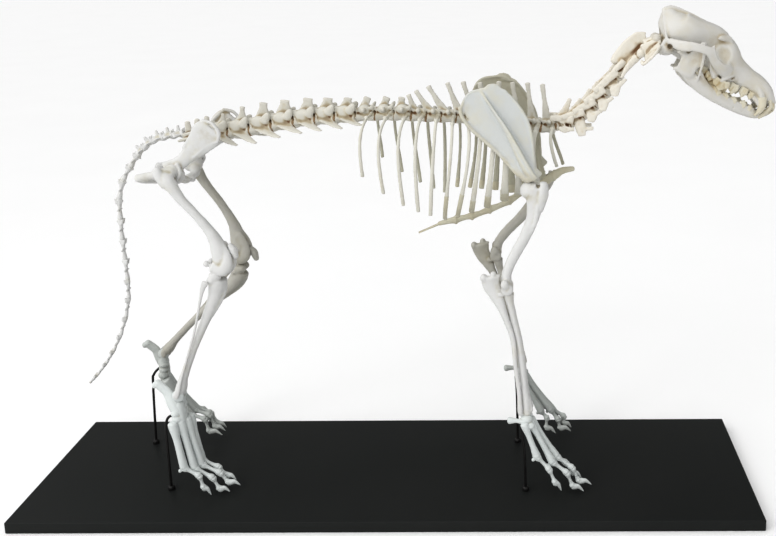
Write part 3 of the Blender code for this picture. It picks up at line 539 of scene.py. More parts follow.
def skullShape(shape):
    for part, boxy in (("case", 2.3), ("face", 2.5)):
        rows = [(forward, (low + high) / 2, 0, wide, (high - low) / 2)
                for forward, low, high, wide in skullSizes[part]]
        rowLoft(shape, head, rows, sides=40, ends=(0.2, 0.5), steps=6, boxy=boxy)
    # Crest along the top, and the floor of the brain's case
    rowLoft(shape, head, (
        (-16, 35, 0, 1.4, 4), (-8, 42.5, 0, 1.5, 4), (12, 45, 0, 1.4, 3), (34, 45.5, 0, 1.2, 2)
    ))
    rowLoft(shape, head, (
        (-10, 5, 0, 7, 5), (14, 1, 0, 12, 6), (40, -2, 0, 9, 7), (58, -6, 0, 13, 6), (84, -8, 0, 18, 5)
    ))
    for at in headSides:
        # Ridge across the back of the head, down to the ear
        rowLoft(shape, at, ((-15, 36, 3, 1.3), (-12.5, 27, 11, 1.3), (-6, 16, 18, 1.3), (1, 7, 22, 2.2)))
        ball(shape, at(-9, 3, 8), (6, 6, 6.5))
        ball(shape, at(5, -3, 16), (10, 8, 7.5))
        rowLoft(shape, at, ((0, 6, 19, 3, 3.5), (-1, -4, 20, 2, 2.5), (1, -11, 20, 1.2)))
        # Cheek arch, from above the ear to below the eye, where it widens into the face
        rowLoft(shape, at, (
            (4, 7, 24, 3, 4.5), (12, 8, 36, 2.4, 6), (20, 10.5, 43, 2, 6.4), (28, 14.2, 45.5, 1.8, 5.4),
            (38, 15.8, 46, 1.7, 5), (47, 16.5, 44.5, 1.8, 6), (55, 14, 41, 2.4, 8),
            (63, 10.5, 35.5, 4.5, 9), (71, 7, 29, 6.5, 9.5), (80, 5, 22, 6, 9)
        ), sides=28, boxy=2.6)
        rowLoft(shape, at, ((49, 20, 43.5, 1.6, 4), (49, 26, 42, 1.1, 1.6)))
        # Brow point over the eye
        rowLoft(shape, at, (
            (66, 38, 12, 7, 5), (59, 37, 19, 4.5, 2.8), (53, 33, 25, 1.8, 1.5)
        ), across=skullAxis["forward"])
        # Pillar over the last teeth, and the ridge of the upper jaw
        rowLoft(shape, at, ((57, 8, 29, 3, 4), (62, 0, 26, 3, 3.4), (69, -7, 23, 4)))
        rowLoft(shape, at, ((78, -8, 25, 2.6), (84, -1, 24.5, 2.2), (90, 4, 21, 1.6)))
        # Swelling over the root of the eye tooth, and the gum behind it
        rowLoft(shape, at, ((120, -8, 12.8, 2.4), (129, -10.5, 13, 3.2), (136, -14, 13, 3.6)))
        rowLoft(shape, at, ((118, 6, 12.5, 2.6), (129, 0, 12.6, 3.6), (137, -8, 12.6, 3.8)))


def skullHollows(shape):
    rowLoft(shape, head, ((134, 3, 0, 4, 3), (143, 4, 0, 6, 6), (156, 5, 0, 8, 10)))
    rowLoft(shape, head, ((-24, 10, 0, 8, 7), (-8, 10, 0, 7, 6.5), (4, 11, 0, 5, 5)))
    for at in headSides:
        forward, up, out = skullSizes["ear"]
        rowLoft(shape, at, ((forward - 3, up - 5, out + 5, 3.8), (forward, up - 3, out - 9, 2.8)))
        (forward, up, out), radii, tilt = skullSizes["eye"]
        turn = Matrix.Rotation(math.atan2(skullAxis["up"].x, skullAxis["up"].z) + tilt, 4, "Y")
        ball(shape, at(forward, up, out), radii, turn)
        rowLoft(shape, at, ((96, 0, 25, 2.2, 3), (89, 0.5, 17, 1.6, 2.2)))
        # Gap between the back of the palate and the cheek
        ball(shape, at(38, -4, 22), (13, 9, 7))


def cheekTooth(shape, at, middle, out, gum, half, tip, root):
    # A blade with one tall point and two lower ones, on roots that stand close together in the gum
    for shift, reach, length in ((0.1, tip, 0.75), (-0.55, tip * 0.6 + gum * 0.4, 0.55),
                                 (0.65, tip * 0.45 + gum * 0.55, 0.5)):
        rowLoft(shape, at, (
            (middle + half * shift * 0.7, root, out, 2.4, half * length * 1.1),
            (middle + half * shift, gum * 0.7 + reach * 0.3, out, 2.2, half * length),
            (middle + half * shift, reach, out, 0.5, 0.5)
        ), sides=12, ends=(0, 0.6))


def upperToothShape(shape):
    for at in headSides:
        for forward, out, gum, half, tip in upperTeeth:
            cheekTooth(shape, at, forward, out, gum, half, tip, gum + 5)
        # Inner cusps of the grinding teeth close the row
        rowLoft(shape, at, (
            (54, -6, 15, 3, 5), (64, -11, 16, 3, 5.5), (76, -15, 18, 3, 5.5), (90, -15, 15.5, 2, 4.5)
        ))
        forward, out = skullSizes["canine"]
        rowLoft(shape, at, (
            (forward - 3, -5, out - 1, 3.8, 6), (forward + 1, -13, out + 0.5, 3.8, 5.2),
            (forward + 1.5, -20, out + 1, 3, 3.6), (forward - 1, -28, out + 0.5, 0.8)
        ), sides=16, ends=(0, 0.8))
        for out, forward, wide in ((2.3, 155, 2), (6.4, 154, 2.1), (10, 150, 2.6)):
            rowLoft(shape, at, (
                (forward - 4, -5, out, wide, 2.6), (forward, -10, out, wide, 2.2),
                (forward + 1.5, -15, out, wide * 0.7, 0.7)
            ), sides=12)


# How far forward the back edge of each half of the jaw stands, seen from the joint of the head
jawCorners = {right: 21.5, left: 29}


def jawShape(shape):
    for side in (right, left):
        at = halfHead(side)
        rowLoft(shape, at, (
            (34, -14, 30, 2.6, 5), (46, -20, 27.5, 3.2, 7.5), (58, -23, 25, 3.6, 8.8),
            (77, -27.7, 21, 3.8, 6.8), (92, -29, 18, 3.8, 6.2), (108, -29.4, 14.5, 3.8, 5.9),
            (124, -28.7, 10.5, 4.2, 5.6), (138, -26.5, 7, 5, 5.2), (150, -20, 4, 4, 3.6)
        ), sides=24)
        corner = jawCorners[side]
        rowLoft(shape, at, (
            (corner + 13, -19, 30.5, 3.4, 11), (corner + 14, -4, 32.5, 3, 10.5), (41, 12, 33.5, 1.8, 8),
            (38, 23, 32.5, 1.1, 3.6)
        ), sides=24)
        # Hinge knob, and the hook at the corner of the jaw
        rowLoft(shape, at, ((34, -4, 32, 2.4, 5), (24, 1, 32, 3, 3.6), (17, 2.5, 32, 7, 3.2)))
        rowLoft(shape, at, (
            (corner + 13, -14, 31, 2.4, 5.5), (corner + 6, -16, 30.5, 2.2, 3.4),
            (corner - 1, -18.5, 30, 1.4, 2)
        ))
        # Thick rims round the muscle's hollow
        rowLoft(shape, at, (
            (53, -22, 28.5, 1.5), (50, -10, 33, 1.6), (47, 2, 35.5, 1.7), (43, 14, 36, 1.5),
            (39, 22, 34.5, 1.2)
        ))
        rowLoft(shape, at, (
            (corner + 2, 0, 32, 2), (corner + 3, -8, 32, 1.8), (corner + 4, -15, 31.5, 2), (40, -24, 29, 2),
            (53, -25, 27.5, 2)
        ))
        # Sockets of the teeth
        rowLoft(shape, at, (
            (52, -9, 26, 2.4), (58, -15, 24.5, 3), (70, -20.5, 22, 3), (84, -23, 19.5, 2.8),
            (104, -23.6, 15.5, 2.6), (118, -23.4, 12.5, 2.6), (132, -22.5, 9, 3)
        ))


def jawHollows(shape):
    for at in headSides:
        ball(shape, at(38, -5, 44.5), (19, 10, 19))
        for forward, up, out in ((108, -30, 18), (120, -29.5, 15.5)):
            ball(shape, at(forward, up, out), (2, 2, 1.4))


def lowerToothShape(shape):
    for at in headSides:
        for forward, out, half, tip in lowerTeeth:
            cheekTooth(shape, at, forward, out, -21, half, tip, -26)
        rowLoft(shape, at, (
            (142, -28, 7.5, 3.4), (147, -20, 9.5, 3.2), (149, -12, 11, 2.3), (147.5, -6, 11.5, 0.7)
        ), sides=16, ends=(0, 0.8))
        for out, forward in ((1.9, 155), (5.2, 154)):
            rowLoft(shape, at, (
                (forward - 4, -22, out, 1.6, 2), (forward, -16, out, 1.6, 1.6),
                (forward + 1.5, -12, out, 1.1, 0.6)
            ), sides=10)


gumSpots = [(head(forward, -14, out * side), 11, 0.75)
            for forward, out in ((52, 19), (62, 22), (74, 24), (88, 21)) for side in (right, left)]
gumSpots += [(head(forward, -15, out * side), 7, 0.35)
             for forward, out in ((100, 17), (112, 15), (140, 12), (150, 5)) for side in (right, left)]
# Painted shadows under the brow, under the cheek arch, in the gap behind the eye and in the opening below
# the eye
browShadeSpots = [(head(forward, up, out * side), radius, strength) for side in (right, left)
             for forward, up, out, radius, strength in ((60, 37, 18, 9, 0.5), (48, 30, 20, 10, 0.25),
                                                        (40, 8, 34, 14, 0.3), (50, 4, 30, 11, 0.4),
                                                        (94, 0, 18, 6, 0.5))]
# Painted shade in the ear's opening
earShadeSpots = [(head(skullSizes["ear"][0] - 1, skullSizes["ear"][1] - 5, 22 * side), 8, 1.0)
            for side in (right, left)]
backSpots = [(head(-9, 4, 8 * side), 12, 0.5) for side in (right, left)]

finishPiece("skullBone", [skinned(skullShape, 0.9, 12, skullHollows, 0.6)], "bone skull", ["skull"],
            gumSpots + earShadeSpots + backSpots + browShadeSpots)
finishPiece("upperTeethRow", [skinned(upperToothShape, 0.6, 1, lumps=0)], "enamel", ["skull"], gumSpots)
finishPiece("jawBone", [skinned(jawShape, 0.9, 8, jawHollows, 0.5)], "bone skull", ["mandible"],
            gumSpots + browShadeSpots)
finishPiece("lowerTeethRow", [skinned(lowerToothShape, 0.6, 1, lumps=0)], "enamel", ["mandible"], gumSpots)


# Column

columnJoints = {
    "neck": ((281, 524), (266, 503), (254, 489), (240, 476), (225, 467), (208, 464)),
    "chest": ((208, 464), (190, 466), (172, 468), (155, 471), (138, 472), (121, 474), (105, 476), (88, 478),
              (70, 479), (52, 480), (34, 481), (13, 482), (-10, 482), (-34, 481)),
    "loins": ((-34, 481), (-59, 480), (-83, 478), (-109, 475), (-136, 471), (-163, 466), (-189, 462),
              (-212, 459)),
    "tail": ((-243, 457), (-256, 456), (-268, 454), (-281, 450), (-292, 442), (-302, 432), (-312, 418),
             (-323, 401), (-330, 377), (-331, 351), (-331, 325), (-330, 299), (-329, 272), (-330, 248),
             (-336, 222), (-345, 198), (-356, 177), (-367, 160), (-380, 144), (-391, 133)),
}
# Tips of the upright blades
bladeTips = {
    "neck": ((272, 523), (258, 517), (249, 508), (238, 496), (225, 496)),
    "chest": ((192, 514), (174, 516), (156, 517), (140, 518), (117, 517), (97, 518), (78, 517), (55, 513),
              (40, 508), (31, 503), (23, 500), (5, 500), (-18, 500)),
    "loins": ((-42, 500), (-66, 500), (-90, 500), (-118, 498), (-144, 495), (-170, 490), (-194, 482)),
}


def atMiddle(point):
    return Vector((point[0], 0, point[1]))


def vertebraLines(joints, index):
    front, back = atMiddle(joints[index]), atMiddle(joints[index + 1])
    along = (back - front).normalized()
    up = Vector((-along.z, 0, along.x))
    if up.z < 0:
        up.negate()
    return front, back, (front + back) / 2, along, up


# Dark rings at the joints: partly real joint stain, partly painted shade between the bones
def discSpots(joints, radius, strength, drop=0.0):
    return [(atMiddle(joint) - upright * drop, radius, strength) for joint in joints]


def openingShadeSpots(joints, out, radius):
    # Painted shade: the openings at the sides of the joints are the darkest places
    return [(atMiddle(joint) + sideways * side * out, radius, 1.3) for joint in joints
            for side in (right, left)]


def atlasShape(shape):
    loft(shape, [(330, 0, 569), (321, 0, 567), (312, 0, 563)], [(9, 3.5), (8, 3), (9, 3.5)],
         ends=(0.3, 0.3))
    loft(shape, [(330, 0, 553), (321, 0, 551), (313, 0, 547)], [(9, 3.5), (8, 3), (9, 3.5)],
         ends=(0.3, 0.3))
    for at in bothSides:
        rowLoft(shape, at, (
            (331, 10, 562, 4, 8), (321, 10, 559, 3.4, 7.4), (311, 10, 554, 4, 8)
        ), ends=(0.3, 0.3))
        rowLoft(shape, at, (
            (322, 10, 558, 10, 2.4), (319, 24, 552, 12, 1.5), (314, 35, 546, 7, 1.3)
        ), across=Vector((0.72, 0, 0.69)), sides=20)
        rowLoft(shape, at, (
            (307, 25, 543, 1.8), (309, 33, 541, 2), (321, 35, 553, 1.9), (328, 24, 560, 1.8)
        ))


def axisShape(shape):
    loft(shape, [(313, 0, 555), (303, 0, 546), (290, 0, 533), (281, 0, 525)],
         [(10, 7), (7, 6), (7, 6), (8, 7)], ends=(0.6, 0.2))
    loft(shape, [(313, 0, 571), (304, 0, 565), (290, 0, 552), (277, 0, 541)],
         [(1.6, 4), (2.2, 9.5), (2.6, 10), (4, 5)], sides=24, boxy=2.4)
    loft(shape, [(314, 0, 574), (302, 0, 573), (289, 0, 561), (277, 0, 547)],
         [(1.4, 1.6), (2, 1.8), (2.2, 1.8), (3, 2.4)])
    for at in bothSides:
        rowLoft(shape, at, ((303, 6, 545, 3, 5), (292, 13, 535, 1.8, 3.5), (285, 15, 523, 1.4, 2)))
        rowLoft(shape, at, ((288, 5, 540, 3, 4), (281, 9, 535, 3.4, 4), (275, 11, 529, 2.4, 3)))
        ball(shape, at(308, 8, 551), (5, 5, 6))


# Each neck bone's wing: the height of its tip, how far out it stands and how far back it reaches
neckWings = ((-10, 13, 14), (-10, 13, 13), (-10, 13, 11), (-19, 12, 6), (-6, 16, 4))


def neckShape(index):
    front, back, middle, along, up = vertebraLines(columnJoints["neck"], index)
    tip = atMiddle(bladeTips["neck"][index])
    low, out, reach = neckWings[index]

    def add(shape):
        loft(shape, [front + along * 1.5, middle - up, back - along], [(8, 7.5), (6.5, 6), (8, 7.5)],
             ends=(0.2, 0.2))
        loft(shape, [front + up * 8 + along * 2, middle + up * 9, back + up * 10],
             [(8, 3), (8, 2.6), (9, 3)], ends=(0.2, 0.2), boxy=3)
        loft(shape, [middle + up * 4 - along * 4, middle + up * 4 + along * 4], [(8, 6), (8, 6)],
             ends=(0.3, 0.3))
        loft(shape, [middle + up * 8, (middle + up * 8 + tip) / 2, tip], [(1.6, 7), (1.1, 4.4), (1.5, 2.6)],
             ends=(0, 0.4), boxy=2.6)
        for side in (right, left):
            shift = sideways * side
            # Plate at the side of the arch, stepping up and out over the next bone
            loft(shape,
                 [front + up * 5 + shift * 10 - along * 2, middle + up * 8 + shift * 9.5,
                  back + up * 12 + shift * 11 + along * 4.5], [(2.6, 5), (2.2, 4.6), (2.6, 3.6)],
                 ends=(0.3, 0.3), boxy=3)
            loft(shape, [front + up * 3 + shift * 11, front + up * 9 + shift * 12 - along * 3],
                 [(2.6, 4.6), (2, 3)], boxy=2.6)
            # Wing at the side, with a forward and a backward point
            loft(shape, [middle - up + shift * 5 - along * 3, middle + shift * (out - 1) + up * low * 0.5,
                         middle + shift * (out + 2) + up * low + along * reach * 0.6],
                 [(2.4, 6), (1.8, 7), (1.2, 4.4)], ends=(0.3, 0.4), boxy=3)
            loft(shape,
                 [middle + shift * (out - 2) + up * low * 0.6,
                  front + shift * (out + 1) + up * low * 0.95 - along * 3], [(1.6, 4), (1, 2.4)], boxy=2.6)

    def carve(shape):
        for side in (right, left):
            shift = sideways * side
            ball(shape, back + up * 3 + shift * 11.5, (5.5, 5.5, 4))
            loft(shape, [middle + shift * 13 + up, back + shift * 13 + up * 3], [(4, 1.8), (4, 2.4)])
    return add, carve


# The blades of the middle chest bones lean back, and the last bones have broad blades and joint knobs
chestSizes = {"leaning": range(3, 10), "broad": 10, "bladeHalf": 3.1, "broadHalf": 4.6}


def chestShape(index):
    front, back, middle, along, up = vertebraLines(columnJoints["chest"], index)
    tip = atMiddle(bladeTips["chest"][index])
    leaning = index in chestSizes["leaning"]
    broad = index >= chestSizes["broad"]
    thick = chestSizes["broadHalf" if broad else "bladeHalf"]

    def add(shape):
        loft(shape, [front + along * 0.8 - up * 4.5, middle - up * 4, back - along * 0.8 - up * 4.5],
             [(7.2, 6.6), (5.2, 5.4), (7.2, 6.6)], ends=(0.25, 0.25))
        loft(shape, [front + up * 3.5 + along, middle + up * 3.5, back + up * 3.5 - along],
             [(6, 3), (5, 3), (6, 3)], ends=(0.4, 0.4))
        loft(shape, [front + along * 3, middle + along * 1.5], [(6, 6), (5.5, 6)], ends=(0.3, 0.3))
        root = middle.lerp(back, 0.6 if leaning else 0.2) + up * 3
        loft(shape, [root, root.lerp(tip, 0.3), root.lerp(tip, 0.65), tip],
             [(2, 6.4), (1.3, thick + 1.5), (1.2, thick), (2, thick + 0.3)], ends=(0, 0.3), boxy=2.6)
        for side in (right, left):
            shift = sideways * side
            loft(shape,
                 [middle + up * 3 + shift * 3, middle + up * 4 + shift * 9, middle + up * 5.5 + shift * 13],
                 [(3, 3), (2.4, 2.8), (3, 3.2)], across=lengthways)
            loft(shape, [back + up * 4 + shift * 4, back + up * 6.5 + shift * 5 + along * 2.5],
                 [(2.2, 2.6), (1.8, 1.6)])
            if broad:
                loft(shape, [front + up * 6 + shift * 7 + along * 3, front + up * 11 + shift * 8],
                     [(2, 3), (1.8, 1.8)])
                loft(shape, [back + up + shift * 5, back + up + shift * 8 + along * 4],
                     [(1.6, 2.2), (1, 1)])
                ball(shape, middle + up * 5 + shift * 4, (8, 5, 5.5))

    def carve(shape):
        # Openings where the nerves leave, between each bone and the next
        for side in (right, left):
            loft(shape, [back + up * 0.5 + sideways * side * 3, back + up * 0.5 + sideways * side * 14],
                 [(1.8, 3.4), (2, 3.4)], across=lengthways)
    return add, carve


loinSizes = {
    "bladeHalves": (5.2, 5.8, 5.8, 5.8, 4.8, 3, 2.6),
    "wings": ((-24, 17, 469), (-47, 21, 466), (-71, 25, 464), (-94, 27, 462), (-120, 27, 457),
              (-149, 26, 450), (-173, 22, 447)),
}


def loinShape(index):
    front, back, middle, along, up = vertebraLines(columnJoints["loins"], index)
    tip = atMiddle(bladeTips["loins"][index])
    half = loinSizes["bladeHalves"][index]
    wingX, wingOut, wingZ = loinSizes["wings"][index]

    def add(shape):
        loft(shape, [front + along - up * 4.5, middle - up * 3.5, back - along - up * 4.5],
             [(9.5, 8), (7, 6), (9.5, 8)], ends=(0.25, 0.25))
        loft(shape, [front + up * 5 + along * 2, middle + up * 5, back + up * 5 - along * 2],
             [(7.5, 4), (6, 3.4), (7, 3.6)], ends=(0.4, 0.4))
        loft(shape, [front + along * 3, middle + along * 2, middle + along * 5],
             [(7.5, 8), (7, 8.5), (6.5, 8)], ends=(0.3, 0.3))
        # Flat-topped plate
        root = Vector((tip.x - 2, 0, middle.z + 5))
        loft(shape, [root, root.lerp(tip, 0.35), root.lerp(tip, 0.75), tip],
             [(3, 12), (1.8, half + 3.4), (1.4, half + 0.2), (2, half + 0.5)], ends=(0, 0.15), sides=24,
             boxy=3.2)
        for side in (right, left):
            shift = sideways * side
            loft(shape, [front + up * 3 + shift * 7.5 + along * 6, front + up * 8 + shift * 8.5 + along * 2,
                         front + up * 11.5 + shift * 9 - along], [(3.2, 5.6), (3, 5), (2.4, 3)])
            ball(shape, middle + up * 3 + shift * 4.5, (10.5, 4.2, 8))
            loft(shape, [back + up * 6 + shift * 4 - along * 4, back + up * 8 + shift * 5 + along * 3],
                 [(2.4, 4), (2, 2.8)])
            loft(shape, [back + shift * 6 - along * 4, back + up + shift * 9 + along * 3],
                 [(1.6, 2.2), (1, 1.1)])
            wing = Vector((wingX, wingOut * side, wingZ))
            root = middle - up * 4 + shift * 4
            loft(shape, [root, root.lerp(wing, 0.6) - up, wing], [(1.6, 8), (1.2, 5), (1, 2.4)],
                 across=up + shift * 0.3)

    def carve(shape):
        for side in (right, left):
            loft(shape, [back - up * 0.5 + sideways * side * 4, back - up * 0.5 + sideways * side * 16],
                 [(2, 5)] * 2, across=lengthways)
    return add, carve


def sacrumShape(shape):
    loft(shape, [(-212, 0, 456), (-226, 0, 454), (-242, 0, 452)], [(14, 8), (11, 7), (8, 6)],
         ends=(0.2, 0.2))
    for at in bothSides:
        rowLoft(shape, at, ((-219, 5, 457, 8, 6), (-216, 27, 460, 7, 9)), across=lengthways)
        rowLoft(shape, at, ((-213, 8, 463, 2, 3), (-227, 8, 461, 1.6, 2.4), (-242, 7, 457, 1.6, 2.4)))
        rowLoft(shape, at, ((-236, 8, 453, 3, 2), (-246, 13, 451, 2, 1.6)), across=lengthways)
    for root, tip in (((-217, 458), (-214, 478)), ((-227, 457), (-226, 475)), ((-237, 455), (-238, 472))):
        loft(shape, [atMiddle(root), (atMiddle(root) + atMiddle(tip)) / 2, atMiddle(tip)],
             [(2.2, 6.5), (1.4, 4.4), (1.7, 3.4)])


# The first tail bones have spines above, the next ones hooks below
tailSizes = {"thick": 5.3, "taper": 0.19, "shrinksOver": 9, "leastWing": 0.25, "spines": 5, "hooks": 12}


def tailShape(index):
    front, back, middle, along, up = vertebraLines(columnJoints["tail"], index)
    thick = tailSizes["thick"] - tailSizes["taper"] * index
    trim = along * 0.7

    def add(shape):
        loft(shape, [front + trim, front.lerp(back, 0.22), middle, front.lerp(back, 0.8), back - trim],
             [thick, thick * 0.86, thick * 0.56, thick * 0.8, thick * 0.95], ends=(0.4, 0.4))
        size = max(1 - index / tailSizes["shrinksOver"], tailSizes["leastWing"])
        for side in (right, left):
            shift = sideways * side
            loft(shape, [front.lerp(back, 0.5), front.lerp(back, 0.55) + shift * (5 + 8 * size)],
                 [(5 * size + 1, 1.8), (2.6 * size, 1)], across=along)
            loft(shape, [front.lerp(back, 0.2) + up * thick * 0.5 + shift * 2.4,
                         front + up * (thick + 2.2 * size) + shift * 3], [(1.4, 2.2), (0.9, 1)])
        if index < tailSizes["spines"]:
            loft(shape, [middle, middle + up * (6 + 5 * size)], [(1.4, 3.6), (1.2, 1.8)])
        elif index < tailSizes["hooks"]:
            loft(shape,
                 [front.lerp(back, 0.15) - up * thick * 0.6,
                  front.lerp(back, 0.1) - up * (thick + 2.4 * size)], [(2.2, 1.8), (1.4, 1)])
    return add


discHalf = 1.4


def discShape(joints, first, last, wide, deep, drop):
    def add(shape):
        for index in range(first, last):
            front, back, _, along, up = vertebraLines(joints, min(index, len(joints) - 2))
            centre = (front if index < len(joints) - 1 else back) - up * drop
            loft(shape, [centre - along * discHalf, centre + along * discHalf], [(wide, deep)] * 2,
                 ends=(0.1, 0.1), steps=1)
    return add


finishPiece("atlasBone", [skinned(atlasShape, 0.9, 3, lumps=1.5)], "lightened bone neck", ["atlas"],
            [(Vector((330, y, 560)), 11, 0.6) for y in (-10, 10)] + [(Vector((311, 0, 553)), 14, 0.6)])
finishPiece("axisBone", [skinned(axisShape, 0.9, 8, lumps=1)], "lightened bone neck", ["axis"],
            [(Vector((310, 0, 552)), 14, 0.6), (Vector((281, 0, 527)), 13, 0.75)])
finishPiece("neckBones", [skinned(add, 1.0, 2, carve, 1.6) for add, carve in map(neckShape, range(5))],
            "lightened bone neck", ["neck"],
            discSpots(columnJoints["neck"], 9, 0.3) + openingShadeSpots(columnJoints["neck"], 10.5, 6.5),
            rounds=8)
finishPiece("neckDiscs", [plain(discShape(columnJoints["neck"], 0, 6, 7, 6, 0))], "cartilage", ["neck"],
            discSpots(columnJoints["neck"], 10, 0.6))
finishPiece("chestBones", [skinned(add, 1.0, 2, carve, 1.4) for add, carve in map(chestShape, range(13))],
            "bone column", ["thorax_right", "thorax_left"],
            discSpots(columnJoints["chest"], 10, 0.6, 2) + openingShadeSpots(columnJoints["chest"], 5, 5.5),
            rounds=8)
finishPiece("chestDiscs", [plain(discShape(columnJoints["chest"], 1, 14, 6.7, 6, 4.5))], "cartilage",
            ["thorax_right", "thorax_left"], discSpots(columnJoints["chest"], 10, 0.6))
finishPiece("loinBones", [skinned(add, 1.0, 4, carve, 1.2) for add, carve in map(loinShape, range(7))],
            "bone column", ["lumbar_spine"],
            discSpots(columnJoints["loins"], 10, 0.6, 1) + openingShadeSpots(columnJoints["loins"], 7, 6.5),
            rounds=10)
finishPiece("loinDiscs", [plain(discShape(columnJoints["loins"], 1, 8, 9, 7.5, 4.5))], "cartilage",
            ["lumbar_spine"], discSpots(columnJoints["loins"], 10, 0.6))
finishPiece("sacrumBone", [skinned(sacrumShape, 1.0, 3)], "bone column", ["sacrum"],
            [(Vector((-212, 0, 457)), 16, 0.6), (Vector((-243, 0, 455)), 12, 0.5)])
tailBones = [skinned(tailShape(index), 0.8, 2, lumps=0.3) for index in range(19)]
for word, first, last in (("base", 0, 7), ("middle", 7, 13), ("tip", 13, 19)):
    finishPiece("tail" + word.capitalize() + "Bones", tailBones[first:last], "bone limbs", ["tail_" + word],
                discSpots(columnJoints["tail"], 5, 0.5))
print("column done")


# Rib cage

ribSizes = {
    # Backward sweep, distance of the widest point from the middle, x and z of the lower end
    "ribs": ((5, 24, 209, 415), (7, 32, 186, 391), (3, 38, 162, 381), (1, 43, 145, 374), (-1, 47, 124, 366),
             (-3, 51, 105, 360), (-7, 55, 88, 355), (-3, 58, 73, 352), (0, 60, 59, 368), (4, 61, 45, 373),
             (6, 62, 28, 381), (7, 61, 5, 395), (5, 58, -19, 415)),
    "trueRibs": 8, "trueEnd": math.radians(171), "freeEnd": math.radians(120), "cartilageTop": 377,
    "halves": (2.6, 3.9, 4.2, 4.6, 3.6, 3, 2.5, 2.3, 2.2, 2.2, 2.1, 2, 1.9), "leftShift": 8,
}


def ribLine(index, side, stations=12):
    sweep, widest, endX, endZ = ribSizes["ribs"][index]
    trueRib = index < ribSizes["trueRibs"]
    lastTurn = ribSizes["trueEnd"] if trueRib else ribSizes["freeEnd"]
    headX, headZ = columnJoints["chest"][index]
    startX, startZ = headX - 3, headZ - 1
    halfHeight = (startZ - endZ) / (1 - math.cos(lastTurn))
    if trueRib and side == left and endZ < ribSizes["cartilageTop"]:
        lastTurn = math.acos(1 - (startZ - ribSizes["cartilageTop"]) / halfHeight)
    line = []
    for station in range(stations):
        turn = lastTurn * (0.05 + 0.95 * station / (stations - 1))
        z = startZ - halfHeight * (1 - math.cos(turn))
        share = (startZ - z) / (startZ - endZ)
        x = startX + (endX - startX) * share - sweep * math.sin(math.pi * share ** 0.6)
        if side == left:
            x += ribSizes["leftShift"] * share ** 0.5
        power = 0.4 if turn < math.pi / 2 else 0.8 if trueRib else 0.5
        out = widest * math.sin(turn) ** power if station else 5
        line.append(Vector((x, out * side, z)))
    return line


def ribShape(index, side):
    line = ribLine(index, side)
    trueRib = index < ribSizes["trueRibs"]

    def add(shape):
        gristleTop = ribSizes["cartilageTop"]
        sizes = []
        for place, point in enumerate(line):
            # A rib broadens towards its gristle, and a free one towards its tip
            swelling = max(0, 1 - abs(point.z - gristleTop - 10) / 26) if trueRib else place / len(line)
            sizes.append((1.5 + 0.4 * swelling, ribSizes["halves"][index] * (0.84 + 0.3 * swelling)))
        kept = sum(not trueRib or point.z > gristleTop + 4 for point in line)
        loft(shape, line[:kept], sizes[:kept], sides=14, ends=(0.8, 0.3), steps=4, boxy=2.4)
        # Knob where the rib leans on the side of its vertebra
        ball(shape, line[1] + upright * 2 + sideways * -side, (3, 3, 2.6))
        ball(shape, line[0], (3.4, 3, 3.2))
    return add


def gristleShape(side):
    def add(shape):
        for index in range(ribSizes["trueRibs"]):
            line = [point for point in ribLine(index, side) if point.z < ribSizes["cartilageTop"] + 16]
            if len(line) > 1:
                loft(shape, line, [(1.8, ribSizes["halves"][index] * 1.12)] * len(line), sides=12,
                     ends=(0.3, 0.5), steps=4)
    return add


breastbone = ((229, 410, 3, 3.6), (216, 408, 3.5, 5), (206, 402, 5, 6.5), (190, 391, 3.5, 5),
              (177, 383, 5, 5.2), (164, 379, 3.5, 4), (152, 371, 5, 5.2), (140, 365, 3.5, 4),
              (127, 360, 5, 5.2), (115, 355, 3.5, 4), (105, 352, 5, 5.2), (96, 350, 3.5, 4),
              (85, 347, 5, 5.2), (75, 345, 3.5, 4), (64, 342, 3.5, 3))


def breastboneShape(shape):
    loft(shape, [(x, 0, z) for x, z, _, _ in breastbone],
         [(wide * 0.9, deep * 0.86) for _, _, wide, deep in breastbone], sides=18)
    for x, z, wide, deep in breastbone[2:-1:2]:
        ball(shape, (x, 0, z), (3.2, wide * 1.1, deep * 1.15))


def swordShape(shape):
    loft(shape, [(67, 0, 343), (53, 0, 337), (39, 0, 331)], [(2, 1.6), (3, 1.2), (4, 0.9)], sides=14)


ribSpots = [(Vector((x, 10 * side, z)), 22, 0.6) for x, z in columnJoints["chest"]
            for side in (right, left)]
for side, word in sideNames.items():
    finishPiece("ribs" + word.capitalize(),
                [skinned(ribShape(index, side), 0.9, 2, lumps=0.5) for index in range(13)], ribLooks[side],
                ["thorax_" + word], ribSpots)
    finishPiece("ribGristle" + word.capitalize(), [plain(gristleShape(side))], "rib ends",
                ["thorax_" + word])
finishPiece("breastBone", [skinned(breastboneShape, 0.9, 3, lumps=0.8)], "rib ends", ["sternum"],
            [(Vector((x, 0, z)), 6, 0.8) for x, z, _, _ in breastbone[2::2]])
finishPiece("swordGristle", [plain(swordShape)], "rib ends", ["sternum"])
print("rib cage done")


# Limbs

foreJoints = {
    right: {"scapula": (117, 44, 514), "glenoid": (172, 56, 411), "shoulder": (178, 57, 403),
            "elbow": (147, 60, 280), "carpus": (167, 65, 119), "paw": (204, 66, 60)},
    left: {"scapula": (127, 44, 518), "glenoid": (181, 56, 401), "shoulder": (191, 57, 392),
           "elbow": (131, 60, 284), "carpus": (161, 65, 122), "paw": (196, 71, 58)},
}
hindJoints = {
    right: {"hip": (-246, 41, 420), "knee": (-190, 57, 309), "shin": (-192, 57, 309),
            "ankle": (-254, 58, 145), "heel": (-280, 59, 160), "tarsus": (-253, 58, 111)},
    left: {"hip": (-253, 41, 415), "knee": (-203, 57, 288), "shin": (-193, 57, 277),
           "ankle": (-315, 60, 148), "heel": (-338, 61, 161), "tarsus": (-317, 61, 110)},
}


def jointAt(joints, name, side):
    x, out, z = joints[name]
    return Vector((x, out * side, z))


